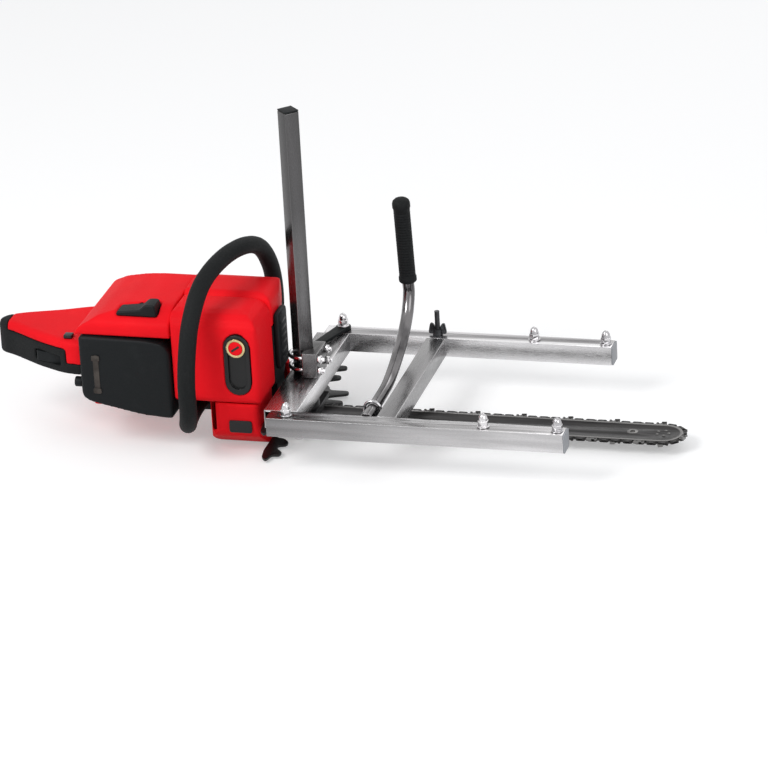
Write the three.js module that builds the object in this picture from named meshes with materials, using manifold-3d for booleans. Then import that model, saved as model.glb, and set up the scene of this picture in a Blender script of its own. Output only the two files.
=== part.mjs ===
// Small-log chainsaw mill: a flat sawing frame that slides on a square height post. The foot of the
// post clamps the guide bar of a petrol chainsaw, which lies on its side with the starter side up.
//
// Lengths are millimetres and +Z is up. The origin is the middle of the inner cross tube's underside.
// +X runs along the rails from the saw to the nose of the bar, and +Y from the near rail to the far
// rail. The undersides of the rails lie on Z = 0, so they are the plane that slides on the log.
import * as THREE from 'three';
import { mergeVertices } from 'three/addons/utils/BufferGeometryUtils.js';
import Module from 'manifold-3d';

const wasm = await Module();
wasm.setup();

// Driving dimensions

const clearance = 0.3; // between pieces that touch
const looseFit = 0.6; // around bent rods in their holes
const overrun = 4; // how far a cut runs past what it cuts
const sink = 1; // how far a piece of a solid runs into the next one

const rail = { length: 461, side: 30, wall: 2.5, spacing: 336, pastInnerCross: 280 };
const channel = { width: 52, wall: 3, setOut: 11 };
const post = { side: 24, wall: 2.5, setIn: 21.5, height: 431 };
const cap = { flange: 2.5, plug: 6 };
const domeNut = {
  shank: 4, shankDepth: 14, washer: 9.5, washerHeight: 2, hex: 8.5, hexHeight: 9, dome: 7, height: 22,
};
const railBolt = { fromLeft: 28, middleFromRight: 125, fromRight: 11 };
const wing = { stud: 4, studTop: 40, hub: 8, hubHeight: 10, span: 30, height: 20, thickness: 4 };
const lever = {
  hub: 12, hubHeight: 6, thickness: 4.5, length: 104, width: 20, tip: 13, turnShare: 0.3,
};

const rod = { radius: 3.25, nut: 6.5, nutHeight: 6, tail: 3.5 };
const saddle = { depth: 25, halfWidth: 27, height: 40, lowRod: 11, highRod: 30 };
const postRodRadius = 21;

const pushHandle = {
  radius: 9.3, rest: 9.6, nearEndFromRail: 3, flatEndFromRail: 97, kneeFromRail: 25, gripFoot: 132, lead: 15,
  topLean: 17, gripTop: 276, gripRadius: 14, tubeInGrip: 110,
};
const handleBracket = {
  fromRail: 42, width: 34, reach: 36, thickness: 4, rod: 2.5, nut: 4.6, rodRadius: 12.6,
};

const bar = {
  slab: 39.5, thickness: 5, width: 62, tailWidth: 48, reach: 423, tailTaper: 53, stud: 3,
  tipHole: 4, tipHoleFromNose: 78, noseSlot: 2.4, nosePin: 7,
};
const chain = { height: 9, tieHeight: 6.4, thickness: 7.6, period: 37, noseTeeth: 11 };
const jaw = {
  halfLength: 21.5, halfWidth: 58, padHalfWidth: 24, pad: 4.9, plate: 7, collar: 21, collarTop: 11,
  lowerPad: 3.7, lowerPlate: 7.5, bolt: 4, boltFromMiddle: 50, head: 7.5, headHeight: 5.5,
};

const saw = {
  frontGap: 13, // from the frame's channel to the front of the saw
  frontLength: 140, // engine part
  rearLength: 161, // tank part
  topDepth: 126, // from the bar's middle line to the side that faces the near rail
  baseDepth: 80, // and to the opposite side
  partingHeight: 22.6, // underside of the engine housing
  leftHeight: 172, // top of the starter side
  tankHeight: 167,
  nearCorner: 14,
  farCorner: 40,
  frontCorner: 34, // rounding of the front's top edge
  shoulder: 34, // rounding of the cylinder cover's top towards the near rail
  edge: 8,
  frontTaper: 18, // how far the front face falls back towards the saw's base
  taperRound: 20,
  coverDepth: 40, // from the bar's middle line to the back of the cylinder cover
  coverTop: 167,
  housingTop: 118,
  wall: 8,
};
const filter = { length: 146, proud: 2, low: -7, high: 124, back: 70.4, bevel: 6, round: 8 };
const tank = {
  wall: 7, neck: 13, lipUnder: 124.6, low: -64, chamfer: 40, chamberLength: 86, setIn: 4, nearLow: -14,
  heelHigh: 14, heelLength: 40,
  floorDepth: 54, shoulder: 30, shoulderDrop: 22, hump: 118, humpFoot: 110, round: 8,
};
const capTop = {
  radius: 15, height: 9, plug: 16, rib: 3, ribHeight: 4, ribInset: 2, sunk: 1, rim: 1,
  fuelFromJoint: 50, fuelHeight: 100, oilFromJoint: 34, oilHeight: 70,
};
const crank = { fromFront: 52, radius: 8, low: -50, high: 160, web: 27, webHeight: 8, pin: 6, throw: 17 };
const drum = { radius: 19, low: -34, high: -10, floor: 4, wall: 3, sprocket: 15, tooth: 3, teeth: 7 };
const chainTurn = { fromShare: 0.31, toShare: 0.69, steps: 8 }; // of a full turn, round the drum
const flywheel = { radius: 31, low: 124, high: 142, fins: 12, hub: 14, disc: 5, fin: 2.5 };
const cylinder = { radius: 26, core: 20, bore: 15, fins: 6, fin: 3, height: 56, axisHeight: 74 };
const plug = { radius: 5, hex: 8, hexHeight: 6, height: 16 };
const clutchCover = {
  front: 5, length: 86, far: 67, low: -64, nearLow: -28, slant: 52, wall: 5, bevel: 8, slot: 46,
  slotLow: -52, setIn: 4, corner: 14, rearCorner: 40, under: 16, foot: 22,
};
const coverPlate = { length: 36, height: 20, thickness: 2, fromFront: 12, low: -24, corner: 4 };
const barPad = { front: 4, length: 28, halfWidth: 20 };
const barNut = { first: 13, second: 26, radius: 5.2, height: 4.6, pocket: 6.2, recess: 1 };
const muffler = { thickness: 9, low: 45, high: 138, nearEdge: 36, farEdge: 10, bevel: 2, corner: 8 };
const spike = {
  thickness: 4, innerTop: -13, outerTop: -56, strip: 3.4, halfReach: 147, forward: 70, nearForward: 26,
  recess: 62, round: 5,
};
const well = {
  radius: 20.5, low: 40, high: 139, proud: 1.5, depth: 14, pocket: 9, inFromFront: 33, edge: 1, shorten: 3,
};
const valve = { radius: 15, ring: 11, proud: 3, buttonProud: 1, travel: 4 };
const handleBoss = { length: 37, depth: 50, low: -26, tubeHeight: 18 };
const handleTube = { radius: 14, sides: 12, steps: 44 };
const rearHandle = {
  low: 53, high: 107, split: 93, bevel: 9, length: 146, near: 115, far: 42, beyond: 40,
  tip: 20, tipRound: 20, leanDegrees: 30, round: 12, holeRound: 10, tab: 12, tabLow: 70, tabDepth: 30,
  gripFromBody: 34, gripDepth: 98, // the middle of the gripped edge, where the lean is measured
};
const trigger = {
  low: 66, high: 80, pin: 3, inFromEdge: 30, ahead: 6, reach: 40, back: 5, drop: 28, room: 10, round: 3,
};
const lockout = {
  low: 64, high: 80, depth: 15, pin: 3, inFromEdge: 8, aheadOfGrip: 6, ahead: 5, reach: 42, back: 17,
  inward: 4, room: 4, round: 3,
};
const stopSwitch = {
  length: 13, width: 13, height: 6, stem: 3, stemLength: 5, fromRoot: 10, depth: 95, floor: 2,
};
const choke = { stem: 3, head: 8, headLength: 11, reach: 3, inFromNear: 20, height: 40, inside: 12 };
const recoil = {
  length: 66, width: 32, height: 20, fromJoint: 54, depth: 95, stem: 4, stemLength: 18, stemHeight: 6,
  sunk: 13, room: 10, bevel: 2, gap: 1, round: 4,
};
const slots = { count: 5, width: 5, length: 34, pitch: 13 }; // in the starter cover's slanted corner

// Places worked out from them

const railRight = rail.pastInnerCross;
const railLeft = railRight - rail.length;
const railY = rail.spacing / 2;
const railInner = railY - rail.side / 2;
const channelLeft = railLeft - channel.setOut;
const channelRight = channelLeft + channel.width;
const postX = channelLeft + post.setIn;
const postTop = rail.side + post.height;
const barTop = -bar.slab;
const barBottom = barTop - bar.thickness;
const barMiddle = (barTop + barBottom) / 2;
const sawFront = channelLeft - saw.frontGap;
const sawMiddle = sawFront - saw.frontLength;
const sawRear = sawMiddle - saw.rearLength;
const sawNear = -saw.topDepth;
const filterRear = sawMiddle - filter.length - clearance;
const handleRoot = filterRear - clearance;
const crankX = sawFront - crank.fromFront;
const recoilX = sawMiddle - recoil.fromJoint;
const recoilSeat = saw.tankHeight - recoil.sunk;
const recoilStem = recoilSeat + recoil.stemHeight;
const switchPlace = [sawRear - stopSwitch.fromRoot, -stopSwitch.depth];

// The gripped edge of the rear handle leans, so the two triggers are laid out along it: ahead is
// towards the saw's front, and inward is from the edge towards the opening.
function byGrip(ahead, inward) {
  const lean = THREE.MathUtils.degToRad(rearHandle.leanDegrees);
  return [
    sawRear - rearHandle.gripFromBody + ahead * Math.cos(lean) + inward * Math.sin(lean),
    -rearHandle.gripDepth - ahead * Math.sin(lean) + inward * Math.cos(lean),
  ];
}

const triggerPivot = byGrip(0, trigger.inFromEdge);
const lockoutPivot = byGrip(lockout.aheadOfGrip, lockout.inFromEdge);

// Solids

function solidOf(geometry) {
  const bare = geometry.index ? geometry.toNonIndexed() : geometry;
  bare.deleteAttribute('normal');
  bare.deleteAttribute('uv');
  const merged = mergeVertices(bare);
  return new wasm.Manifold(new wasm.Mesh({
    numProp: 3,
    vertProperties: merged.attributes.position.array,
    triVerts: Uint32Array.from(merged.index.array),
  }));
}

function geometryOf(solid) {
  const { vertProperties, triVerts } = solid.getMesh();
  const geometry = new THREE.BufferGeometry();
  geometry.setAttribute('position', new THREE.BufferAttribute(Float32Array.from(vertProperties), 3));
  geometry.setIndex(new THREE.BufferAttribute(Uint32Array.from(triVerts), 1));
  geometry.computeVertexNormals();
  return geometry;
}

function box([x0, x1], [y0, y1], [z0, z1]) {
  const geometry = new THREE.BoxGeometry(x1 - x0, y1 - y0, z1 - z0);
  geometry.translate((x0 + x1) / 2, (y0 + y1) / 2, (z0 + z1) / 2);
  return solidOf(geometry);
}

// The three ways that an outline can be pushed through: its two directions, then the way it is pushed.
const planes = {
  z: new THREE.Matrix4(),
  y: new THREE.Matrix4().makeRotationX(Math.PI / 2), // outline in X and Z, pushed along -Y
  x: new THREE.Matrix4().makeBasis(
    new THREE.Vector3(0, 1, 0), new THREE.Vector3(0, 0, 1), new THREE.Vector3(1, 0, 0),
  ), // outline in Y and Z, pushed along +X
};

function prism(shape, axis, from, to, bevel = 0, bevelSteps = 2, curveSegments = 4) {
  const geometry = new THREE.ExtrudeGeometry(shape, {
    depth: to - from - 2 * bevel,
    bevelEnabled: bevel > 0,
    bevelThickness: bevel,
    bevelSize: bevel,
    bevelOffset: -bevel,
    bevelSegments: bevelSteps,
    curveSegments,
    steps: 1,
  });
  geometry.applyMatrix4(planes[axis]);
  const start = { z: from + bevel, y: to - bevel, x: from + bevel }[axis];
  geometry.translate(axis === 'x' ? start : 0, axis === 'y' ? start : 0, axis === 'z' ? start : 0);
  return solidOf(geometry);
}

function round(axis, [a, b], radius, from, to, sides = 12) {
  const shape = new THREE.Shape();
  for (let i = 0; i < sides; i++) {
    const angle = ((i + 0.5) / sides) * 2 * Math.PI;
    const corner = new THREE.Vector2(a + radius * Math.cos(angle), b + radius * Math.sin(angle));
    if (i === 0) shape.moveTo(corner.x, corner.y);
    else shape.lineTo(corner.x, corner.y);
  }
  shape.closePath();
  return prism(shape, axis, from, to);
}

// An outline through points, with each corner rounded as far as its two edges allow.
function rounded(points, radius) {
  const shape = new THREE.Shape();
  const corners = points.map(([x, y]) => new THREE.Vector2(x, y));
  corners.forEach((corner, i) => {
    const before = corners[(i + corners.length - 1) % corners.length];
    const after = corners[(i + 1) % corners.length];
    const wanted = Array.isArray(radius) ? radius[i] : radius;
    const cut = Math.min(wanted, corner.distanceTo(before) / 2.2, corner.distanceTo(after) / 2.2);
    const start = corner.clone().lerp(before, cut / corner.distanceTo(before));
    const end = corner.clone().lerp(after, cut / corner.distanceTo(after));
    if (i === 0) shape.moveTo(start.x, start.y);
    else shape.lineTo(start.x, start.y);
    if (cut > 0) shape.quadraticCurveTo(corner.x, corner.y, end.x, end.y);
  });
  shape.closePath();
  return shape;
}

const wholeShares = [[0, 0], [1, 0], [1, 1], [0, 1]];

// Shares of a rectangle turned into points of it.
function spread(shares, [x0, x1], [y0, y1]) {
  return shares.map(([across, up]) => [x0 + across * (x1 - x0), y0 + up * (y1 - y0)]);
}

function bent(points, radius, steps, sides = 8) {
  const circle = new THREE.Shape();
  for (let i = 0; i < sides; i++) {
    const angle = (i / sides) * 2 * Math.PI;
    const x = radius * Math.cos(angle);
    const y = radius * Math.sin(angle);
    if (i === 0) circle.moveTo(x, y);
    else circle.lineTo(x, y);
  }
  circle.closePath();
  const extrudePath = new THREE.CatmullRomCurve3(points.map((p) => new THREE.Vector3(...p)));
  return solidOf(new THREE.ExtrudeGeometry(circle, { steps, bevelEnabled: false, extrudePath }));
}

function turned(profile, sides = 12) {
  return solidOf(new THREE.LatheGeometry(profile.map(([r, h]) => new THREE.Vector2(r, h)), sides)
    .rotateX(Math.PI / 2));
}

function diamond(halfSide, from, to) {
  const reach = halfSide * Math.SQRT2;
  return prism(
    rounded([[postX - reach, 0], [postX, -reach], [postX + reach, 0], [postX, reach]], 0), 'z', from, to,
  );
}

// Finishes

const finishes = {
  bright: { color: 0xc9cacd, roughness: 0.32, metalness: 0.9 },
  chrome: { color: 0xd8d9dc, roughness: 0.12, metalness: 1 },
  darkSteel: { color: 0x3b3c40, roughness: 0.4, metalness: 0.8 },
  barSteel: { color: 0x8d8c8a, roughness: 0.38, metalness: 0.85 },
  red: { color: 0xd8262c, roughness: 0.34, metalness: 0 },
  black: { color: 0x25282a, roughness: 0.5, metalness: 0 },
  rubber: { color: 0x1b1c1e, roughness: 0.75, metalness: 0 },
  brass: { color: 0xcdbb86, roughness: 0.35, metalness: 0.8 },
  grey: { color: 0x9b9da1, roughness: 0.55, metalness: 0.3 },
};
const materials = Object.fromEntries(
  Object.entries(finishes).map(([name, values]) => [name, new THREE.MeshStandardMaterial(values)]),
);

const mill = new THREE.Group();

function add(name, solid, finish) {
  const mesh = new THREE.Mesh(geometryOf(solid), materials[finish]);
  mesh.name = name;
  mill.add(mesh);
}

// Sawing frame: two rails, a wide left channel and an inner cross tube

const boltPlaces = {
  left: railLeft + railBolt.fromLeft,
  middle: railRight - railBolt.middleFromRight,
  right: railRight - railBolt.fromRight,
};

function railTube(y) {
  const half = rail.side / 2;
  const inner = half - rail.wall;
  const middle = half;
  let solid = box([railLeft, railRight], [y - half, y + half], [0, rail.side]).subtract(
    box([railLeft - overrun, railRight + overrun], [y - inner, y + inner], [middle - inner, middle + inner]),
  );
  const hole = domeNut.shank + clearance;
  const places = [...Object.values(boltPlaces), ...(y > 0 ? [0] : [])];
  for (const x of places) {
    solid = solid.subtract(round('z', [x, y], hole, middle, rail.side + overrun));
  }
  return solid;
}

function railCap(y) {
  const half = rail.side / 2;
  const plug = half - rail.wall - clearance;
  const face = railRight + clearance;
  return prism(
    rounded([[y - half, 0], [y + half, 0], [y + half, rail.side], [y - half, rail.side]], cap.flange),
    'x', face, face + cap.flange,
  ).add(box([face - cap.plug, face], [y - plug, y + plug], [half - plug, half + plug]));
}

function domeBolt(x, y, washer = rail.side + clearance) {
  const d = domeNut;
  return turned([
    [0, rail.side - d.shankDepth - washer], [d.shank, rail.side - d.shankDepth - washer], [d.shank, 0],
    [d.washer, 0], [d.washer, d.washerHeight], [d.hex, d.washerHeight],
    [d.hex, d.washerHeight + d.hexHeight], [d.dome, (d.washerHeight + d.hexHeight + d.height) / 2],
    [d.shank, d.height - d.washerHeight / 2], [0, d.height],
  ]).translate([x, y, washer]);
}

function buildFrame() {
  add('near_rail', railTube(-railY), 'bright');
  add('far_rail', railTube(railY), 'bright');
  add('near_rail_cap', railCap(-railY), 'grey');
  add('far_rail_cap', railCap(railY), 'grey');

  const reach = railInner - clearance;
  const postHole = diamond(post.side / 2 + looseFit, -overrun, rail.side + overrun);
  const channelWalls = box([channelLeft, channelRight], [-reach, reach], [0, rail.side]).subtract(box(
    [channelLeft + channel.wall, channelRight - channel.wall],
    [-reach - overrun, reach + overrun],
    [channel.wall, rail.side - channel.wall],
  ));
  add('left_cross_channel', channelWalls.subtract(postHole), 'bright');

  const half = rail.side / 2;
  const inner = half - rail.wall;
  add('inner_cross_tube', box([-half, half], [-reach, reach], [0, rail.side]).subtract(
    box([-inner, inner], [-reach - overrun, reach + overrun], [half - inner, half + inner]),
  ), 'bright');

  add('near_bolt_left', domeBolt(boltPlaces.left, -railY), 'chrome');
  add('near_bolt_middle', domeBolt(boltPlaces.middle, -railY), 'chrome');
  add('near_bolt_right', domeBolt(boltPlaces.right, -railY), 'chrome');
  const overHub = rail.side + 2 * clearance + lever.hubHeight;
  add('far_bolt_left', domeBolt(boltPlaces.left, railY, overHub), 'chrome');
  add('far_bolt_middle', domeBolt(boltPlaces.middle, railY), 'chrome');
  add('far_bolt_right', domeBolt(boltPlaces.right, railY), 'chrome');
}

// A thumb screw with two wings, where the inner cross tube meets the far rail
function buildWingScrew() {
  const face = rail.side + clearance;
  const stud = round('z', [0, railY], wing.stud, face - domeNut.shankDepth, face + wing.studTop);
  const hub = round('z', [0, railY], wing.hub, face, face + wing.hubHeight);
  const bladeShares = [[0, 0.1], [0.12, 1], [0.3, 0.9], [0.42, 0.35], [0.58, 0.35], [0.7, 0.9], [0.88, 1],
    [1, 0.1]];
  const points = spread(bladeShares, [-wing.span / 2, wing.span / 2], [face, face + wing.height]);
  const blades = prism(
    rounded(points, wing.thickness), 'y', railY - wing.thickness / 2, railY + wing.thickness / 2, 0, 1, 2,
  );
  add('wing_screw', stud.add(hub).add(blades), 'darkSteel');
}

// The black lever that locks the far left corner
function buildLockLever() {
  const x = boltPlaces.left;
  const low = rail.side + clearance;
  const high = low + lever.hubHeight;
  const arm = rounded([
    [0, -lever.width / 2], [lever.length, -lever.tip / 2], [lever.length, lever.tip / 2],
    [0, lever.width / 2],
  ], [0, lever.tip / 2, lever.tip / 2, 0]);
  const turn = -lever.turnShare * 360;
  const solid = prism(arm, 'z', high - lever.thickness, high)
    .rotate([0, 0, turn])
    .translate([x, railY, 0])
    .add(round('z', [x, railY], lever.hub, low, high))
    .subtract(round('z', [x, railY], domeNut.shank + clearance, low - overrun, high + overrun));
  add('lock_lever', solid, 'black');
}

// Height post, its saddle and U-bolts

function halfRing(middle, radius, count = 6) {
  return Array.from({ length: count + 1 }, (_, i) => {
    const angle = Math.PI / 2 + (i / count) * Math.PI;
    return [middle + radius * Math.cos(angle), radius * Math.sin(angle)];
  });
}

function buildPost() {
  const half = post.side / 2;
  const foot = barTop + clearance + jaw.pad;
  const top = postTop - cap.flange - clearance;
  add('height_post', diamond(half, foot + clearance, top).subtract(
    diamond(half - post.wall, foot - overrun, top + overrun),
  ), 'bright');
  add('post_cap', diamond(half, top + clearance, postTop).add(
    diamond(half - post.wall - clearance, top - cap.plug, top + clearance),
  ), 'black');
}

function buildPostClamp() {
  const low = rail.side + clearance;
  const cornerX = postX + (post.side / 2) * Math.SQRT2;
  const blockLeft = cornerX - saddle.depth / 2;
  const blockRight = blockLeft + saddle.depth;
  const rodMiddle = postX - (post.side / 2) * Math.SQRT2 - clearance - rod.radius + postRodRadius;
  let block = prism(rounded([
    [blockLeft, -saddle.halfWidth], [blockRight, -saddle.halfWidth],
    [blockRight, saddle.halfWidth], [blockLeft, saddle.halfWidth],
  ], clearance * overrun), 'z', low, low + saddle.height, 0, 1, 1);
  block = block.subtract(diamond(post.side / 2 + clearance, 0, postTop));
  for (const [name, height] of [['lower', saddle.lowRod], ['upper', saddle.highRod]]) {
    const z = low + height;
    const legEnd = blockRight + clearance + rod.nutHeight + rod.tail;
    const arc = halfRing(rodMiddle, postRodRadius).map(([x, y]) => [x, y, z]);
    const legMiddle = (legEnd + rodMiddle) / 2;
    const points = [
      [legEnd, postRodRadius, z], [legMiddle, postRodRadius, z], ...arc,
      [legMiddle, -postRodRadius, z], [legEnd, -postRodRadius, z],
    ];
    let bolt = bent(points, rod.radius, 30);
    for (const y of [-postRodRadius, postRodRadius]) {
      const nutFace = blockRight + clearance;
      bolt = bolt.add(round('x', [y, z], rod.nut, nutFace, nutFace + rod.nutHeight, 6));
      block = block.subtract(
        round('x', [y, z], rod.radius + looseFit, blockLeft - overrun, blockRight + overrun),
      );
    }
    add(`post_u_bolt_${name}`, bolt, 'chrome');
  }
  add('post_saddle', block, 'bright');
}

// Bar clamp at the foot of the post

function buildBarClamp() {
  const x = [postX - jaw.halfLength, postX + jaw.halfLength];
  const padBottom = barTop + clearance;
  const plateBottom = padBottom + jaw.pad;
  const plateTop = plateBottom + jaw.plate;
  const lowerPadTop = barBottom - clearance;
  const lowerPlateTop = lowerPadTop - jaw.lowerPad;
  const lowerPlateBottom = lowerPlateTop - jaw.lowerPlate;
  const outline = (halfWidth) => rounded([
    [x[0], -halfWidth], [x[1], -halfWidth], [x[1], halfWidth], [x[0], halfWidth],
  ], jaw.headHeight);
  let upper = prism(outline(jaw.halfWidth), 'z', plateBottom, plateTop, 0, 1, 2)
    .add(box(x, [-jaw.padHalfWidth, jaw.padHalfWidth], [padBottom, plateBottom]))
    .add(round('z', [postX, 0], jaw.collar, plateBottom, -jaw.collarTop, 20))
    .subtract(diamond(post.side / 2 + clearance, plateBottom, postTop));
  let lower = prism(outline(jaw.halfWidth), 'z', lowerPlateBottom, lowerPlateTop, 0, 1, 2)
    .add(box(x, [-jaw.padHalfWidth, jaw.padHalfWidth], [lowerPlateTop, lowerPadTop]));
  for (const [name, y] of [['near', -jaw.boltFromMiddle], ['far', jaw.boltFromMiddle]]) {
    const hole = round('z', [postX, y], jaw.bolt + clearance, lowerPlateBottom - overrun, postTop);
    upper = upper.subtract(hole);
    lower = lower.subtract(hole);
    const headTop = lowerPlateBottom - clearance;
    const nutBottom = plateTop + clearance;
    const bolt = round('z', [postX, y], jaw.head, headTop - jaw.headHeight, headTop, 6)
      .add(round('z', [postX, y], jaw.bolt, headTop, nutBottom + jaw.headHeight + clearance))
      .add(round('z', [postX, y], jaw.head, nutBottom, nutBottom + jaw.headHeight, 6));
    add(`clamp_bolt_${name}`, bolt, 'chrome');
  }
  add('upper_jaw', upper, 'bright');
  add('lower_jaw', lower, 'bright');
}

// Push handle on the inner cross tube

function buildPushHandle() {
  const h = pushHandle;
  const x = -rail.side / 2 - clearance - handleBracket.nut - handleBracket.rodRadius;
  const z = handleBracket.thickness + h.rest + h.radius;
  const gripLength = h.gripTop - h.gripFoot;
  const lean = Math.atan2(h.topLean, gripLength);
  const gripFootY = railInner - h.kneeFromRail;
  const nearEnd = -railInner + h.nearEndFromRail;
  const flatEnd = -railInner + h.flatEndFromRail;
  const along = (distance) => [
    x, gripFootY - distance * Math.sin(lean), h.gripFoot + distance * Math.cos(lean),
  ];
  const risingShares = [[0.2, 0.02], [0.46, 0.14], [0.72, 0.33], [0.92, 0.58]];
  const rising = spread(risingShares, [flatEnd, gripFootY], [z, h.gripFoot]);
  const points = [
    [x, nearEnd, z], [x, (nearEnd + flatEnd) / 2, z], [x, flatEnd, z],
    ...rising.map(([y, height]) => [x, y, height]),
    along(-h.lead), along(0), along(h.tubeInGrip / 2), along(h.tubeInGrip),
  ];
  add('push_handle_tube', bent(points, h.radius, 36, 10), 'chrome');

  const bore = h.radius + looseFit;
  const rimShares = [[1, 0], [1, 0.06], [0.93, 0.09], [0.93, 0.88], [1, 0.91], [1, 0.95], [0.8, 0.985],
    [0.45, 1]];
  const rim = spread(rimShares, [0, h.gripRadius], [0, gripLength]);
  const innerEnd = h.tubeInGrip + h.radius;
  const grip = turned([[bore, 0], ...rim, [0, gripLength], [0, innerEnd], [bore, innerEnd], [bore, 0]], 14)
    .rotate([THREE.MathUtils.radToDeg(lean), 0, 0])
    .translate(along(h.radius / 2));
  add('push_handle_grip', grip, 'rubber');

  const b = handleBracket;
  const middle = -railInner + b.fromRail;
  const y = [middle - b.width / 2, middle + b.width / 2];
  const plateTop = z - h.radius - clearance;
  const plateBottom = plateTop - b.thickness;
  const face = -rail.side / 2 - clearance;
  let plate = box([face - b.reach, face], y, [plateBottom, plateTop]);
  const arch = halfRing(0, b.rodRadius).map(([back, side]) => [x + side, middle, z - back]);
  const legEnd = plateBottom - clearance - rod.nutHeight;
  const legMiddle = (legEnd + z) / 2;
  const near = x - b.rodRadius;
  const far = x + b.rodRadius;
  let bolt = bent([
    [far, middle, legEnd], [far, middle, legMiddle], ...arch,
    [near, middle, legMiddle], [near, middle, legEnd],
  ], b.rod, 26);
  for (const legX of [near, far]) {
    plate = plate.subtract(round('z', [legX, middle], b.rod + looseFit, 0, postTop));
    const nutTop = plateBottom - clearance;
    bolt = bolt.add(round('z', [legX, middle], b.nut, nutTop - rod.nutHeight, nutTop, 6));
  }
  add('handle_bracket', plate, 'darkSteel');
  add('handle_u_bolt', bolt, 'chrome');
}

// Guide bar and chain

// The loop of the bar's edge from the far side of its tail round the nose, as points with their
// outward directions. A lift moves every point outward.
function barLoop(lift, tailX, tailHalf) {
  const half = bar.width / 2;
  const noseX = bar.reach - half;
  const taperX = tailX + bar.tailTaper;
  const slope = (half - tailHalf) / bar.tailTaper;
  const places = [[tailX, -tailHalf, -slope, -1], [taperX, -half, -slope / 2, -1]];
  const arc = 12;
  for (let i = 0; i <= arc; i++) {
    const angle = -Math.PI / 2 + (i / arc) * Math.PI;
    places.push([
      noseX + half * Math.cos(angle), half * Math.sin(angle), Math.cos(angle), Math.sin(angle),
    ]);
  }
  places.push([taperX, half, -slope / 2, 1], [tailX, tailHalf, -slope, 1]);
  return places.map(([x, y, outX, outY]) => [x + lift * outX, y + lift * outY]);
}

const barTail = sawFront - barPad.front - barPad.length;

function buildBar() {
  let solid = prism(rounded(barLoop(0, barTail, bar.tailWidth / 2), 0), 'z', barBottom, barTop);
  for (const inFromFront of [barNut.first, barNut.second]) {
    solid = solid.subtract(round(
      'z', [sawFront - inFromFront, 0], bar.stud + clearance, barBottom - overrun, barTop + overrun,
    ));
  }
  solid = solid.subtract(round(
    'z', [bar.reach - bar.tipHoleFromNose, 0], bar.tipHole, barBottom - overrun, barTop + overrun,
  ));
  const half = bar.noseSlot / 2 + clearance;
  const noseX = bar.reach - bar.width / 2;
  const sprocketRadius = bar.width / 2;
  const slot = box(
    [noseX - sprocketRadius - clearance, bar.reach + overrun], [-bar.width, bar.width],
    [barMiddle - half, barMiddle + half],
  ).subtract(round('z', [noseX, 0], bar.nosePin, barBottom, barTop));
  add('guide_bar', solid.subtract(slot), 'barSteel');

  const teeth = chain.noseTeeth;
  const rim = sprocketRadius - bar.noseSlot;
  const root = rim - bar.noseSlot * 2;
  const outline = Array.from({ length: teeth * 4 }, (_, i) => {
    const angle = (i / (teeth * 4)) * 2 * Math.PI;
    const radius = i % 4 < 2 ? rim : root;
    return [noseX + radius * Math.cos(angle), radius * Math.sin(angle)];
  });
  add('nose_sprocket', prism(
    rounded(outline, 0), 'z', barMiddle - bar.noseSlot / 2, barMiddle + bar.noseSlot / 2,
  ).subtract(
    round('z', [noseX, 0], bar.nosePin + clearance, barBottom, barTop),
  ), 'darkSteel');
}

// The chain as one body: low tie links all round, with a taller cutter on every second pitch.
function buildChain() {
  const track = barLoop(clearance, barTail, bar.tailWidth / 2);
  const rearRadius = drum.sprocket + clearance;
  const turnShare = (chainTurn.toShare - chainTurn.fromShare) / chainTurn.steps;
  for (let i = 0; i <= chainTurn.steps; i++) {
    const angle = 2 * Math.PI * (chainTurn.fromShare + turnShare * i);
    track.push([crankX + rearRadius * Math.cos(angle), rearRadius * Math.sin(angle)]);
  }
  const loop = track.map(([x, y]) => new THREE.Vector2(x, y));
  const lengths = [0];
  loop.forEach((point, i) => lengths.push(lengths[i] + point.distanceTo(loop[(i + 1) % loop.length])));
  const total = lengths[loop.length];
  const count = Math.round(total / chain.period);
  const inner = [];
  const outer = [];
  const at = (distance) => {
    const wrapped = ((distance % total) + total) % total;
    let i = 0;
    while (lengths[i + 1] <= wrapped) i++;
    const start = loop[i];
    const end = loop[(i + 1) % loop.length];
    return start.clone().lerp(end, (wrapped - lengths[i]) / (lengths[i + 1] - lengths[i]));
  };
  const outward = (distance) => {
    const along = at(distance + chain.tieHeight).sub(at(distance - chain.tieHeight)).normalize();
    return new THREE.Vector2(along.y, -along.x);
  };
  loop.forEach((point) => inner.push([point.x, point.y]));
  const profileShares = [[0, 0.72], [0.3, 0.72], [0.34, 1], [0.62, 0.86], [0.64, 0.72]];
  for (let i = 0; i < count; i++) {
    for (const [place, share] of profileShares) {
      const distance = ((i + place) / count) * total;
      const point = at(distance).add(outward(distance).multiplyScalar(chain.height * share));
      outer.push([point.x, point.y]);
    }
  }
  const half = chain.thickness / 2;
  add('saw_chain', prism(rounded(outer, 0), 'z', barMiddle - half, barMiddle + half).subtract(
    prism(rounded(inner, 0), 'z', barMiddle - half - overrun, barMiddle + half + overrun),
  ), 'darkSteel');
}

// Engine part of the saw

function alongRange(start, length) {
  return [start, start + length];
}

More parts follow.
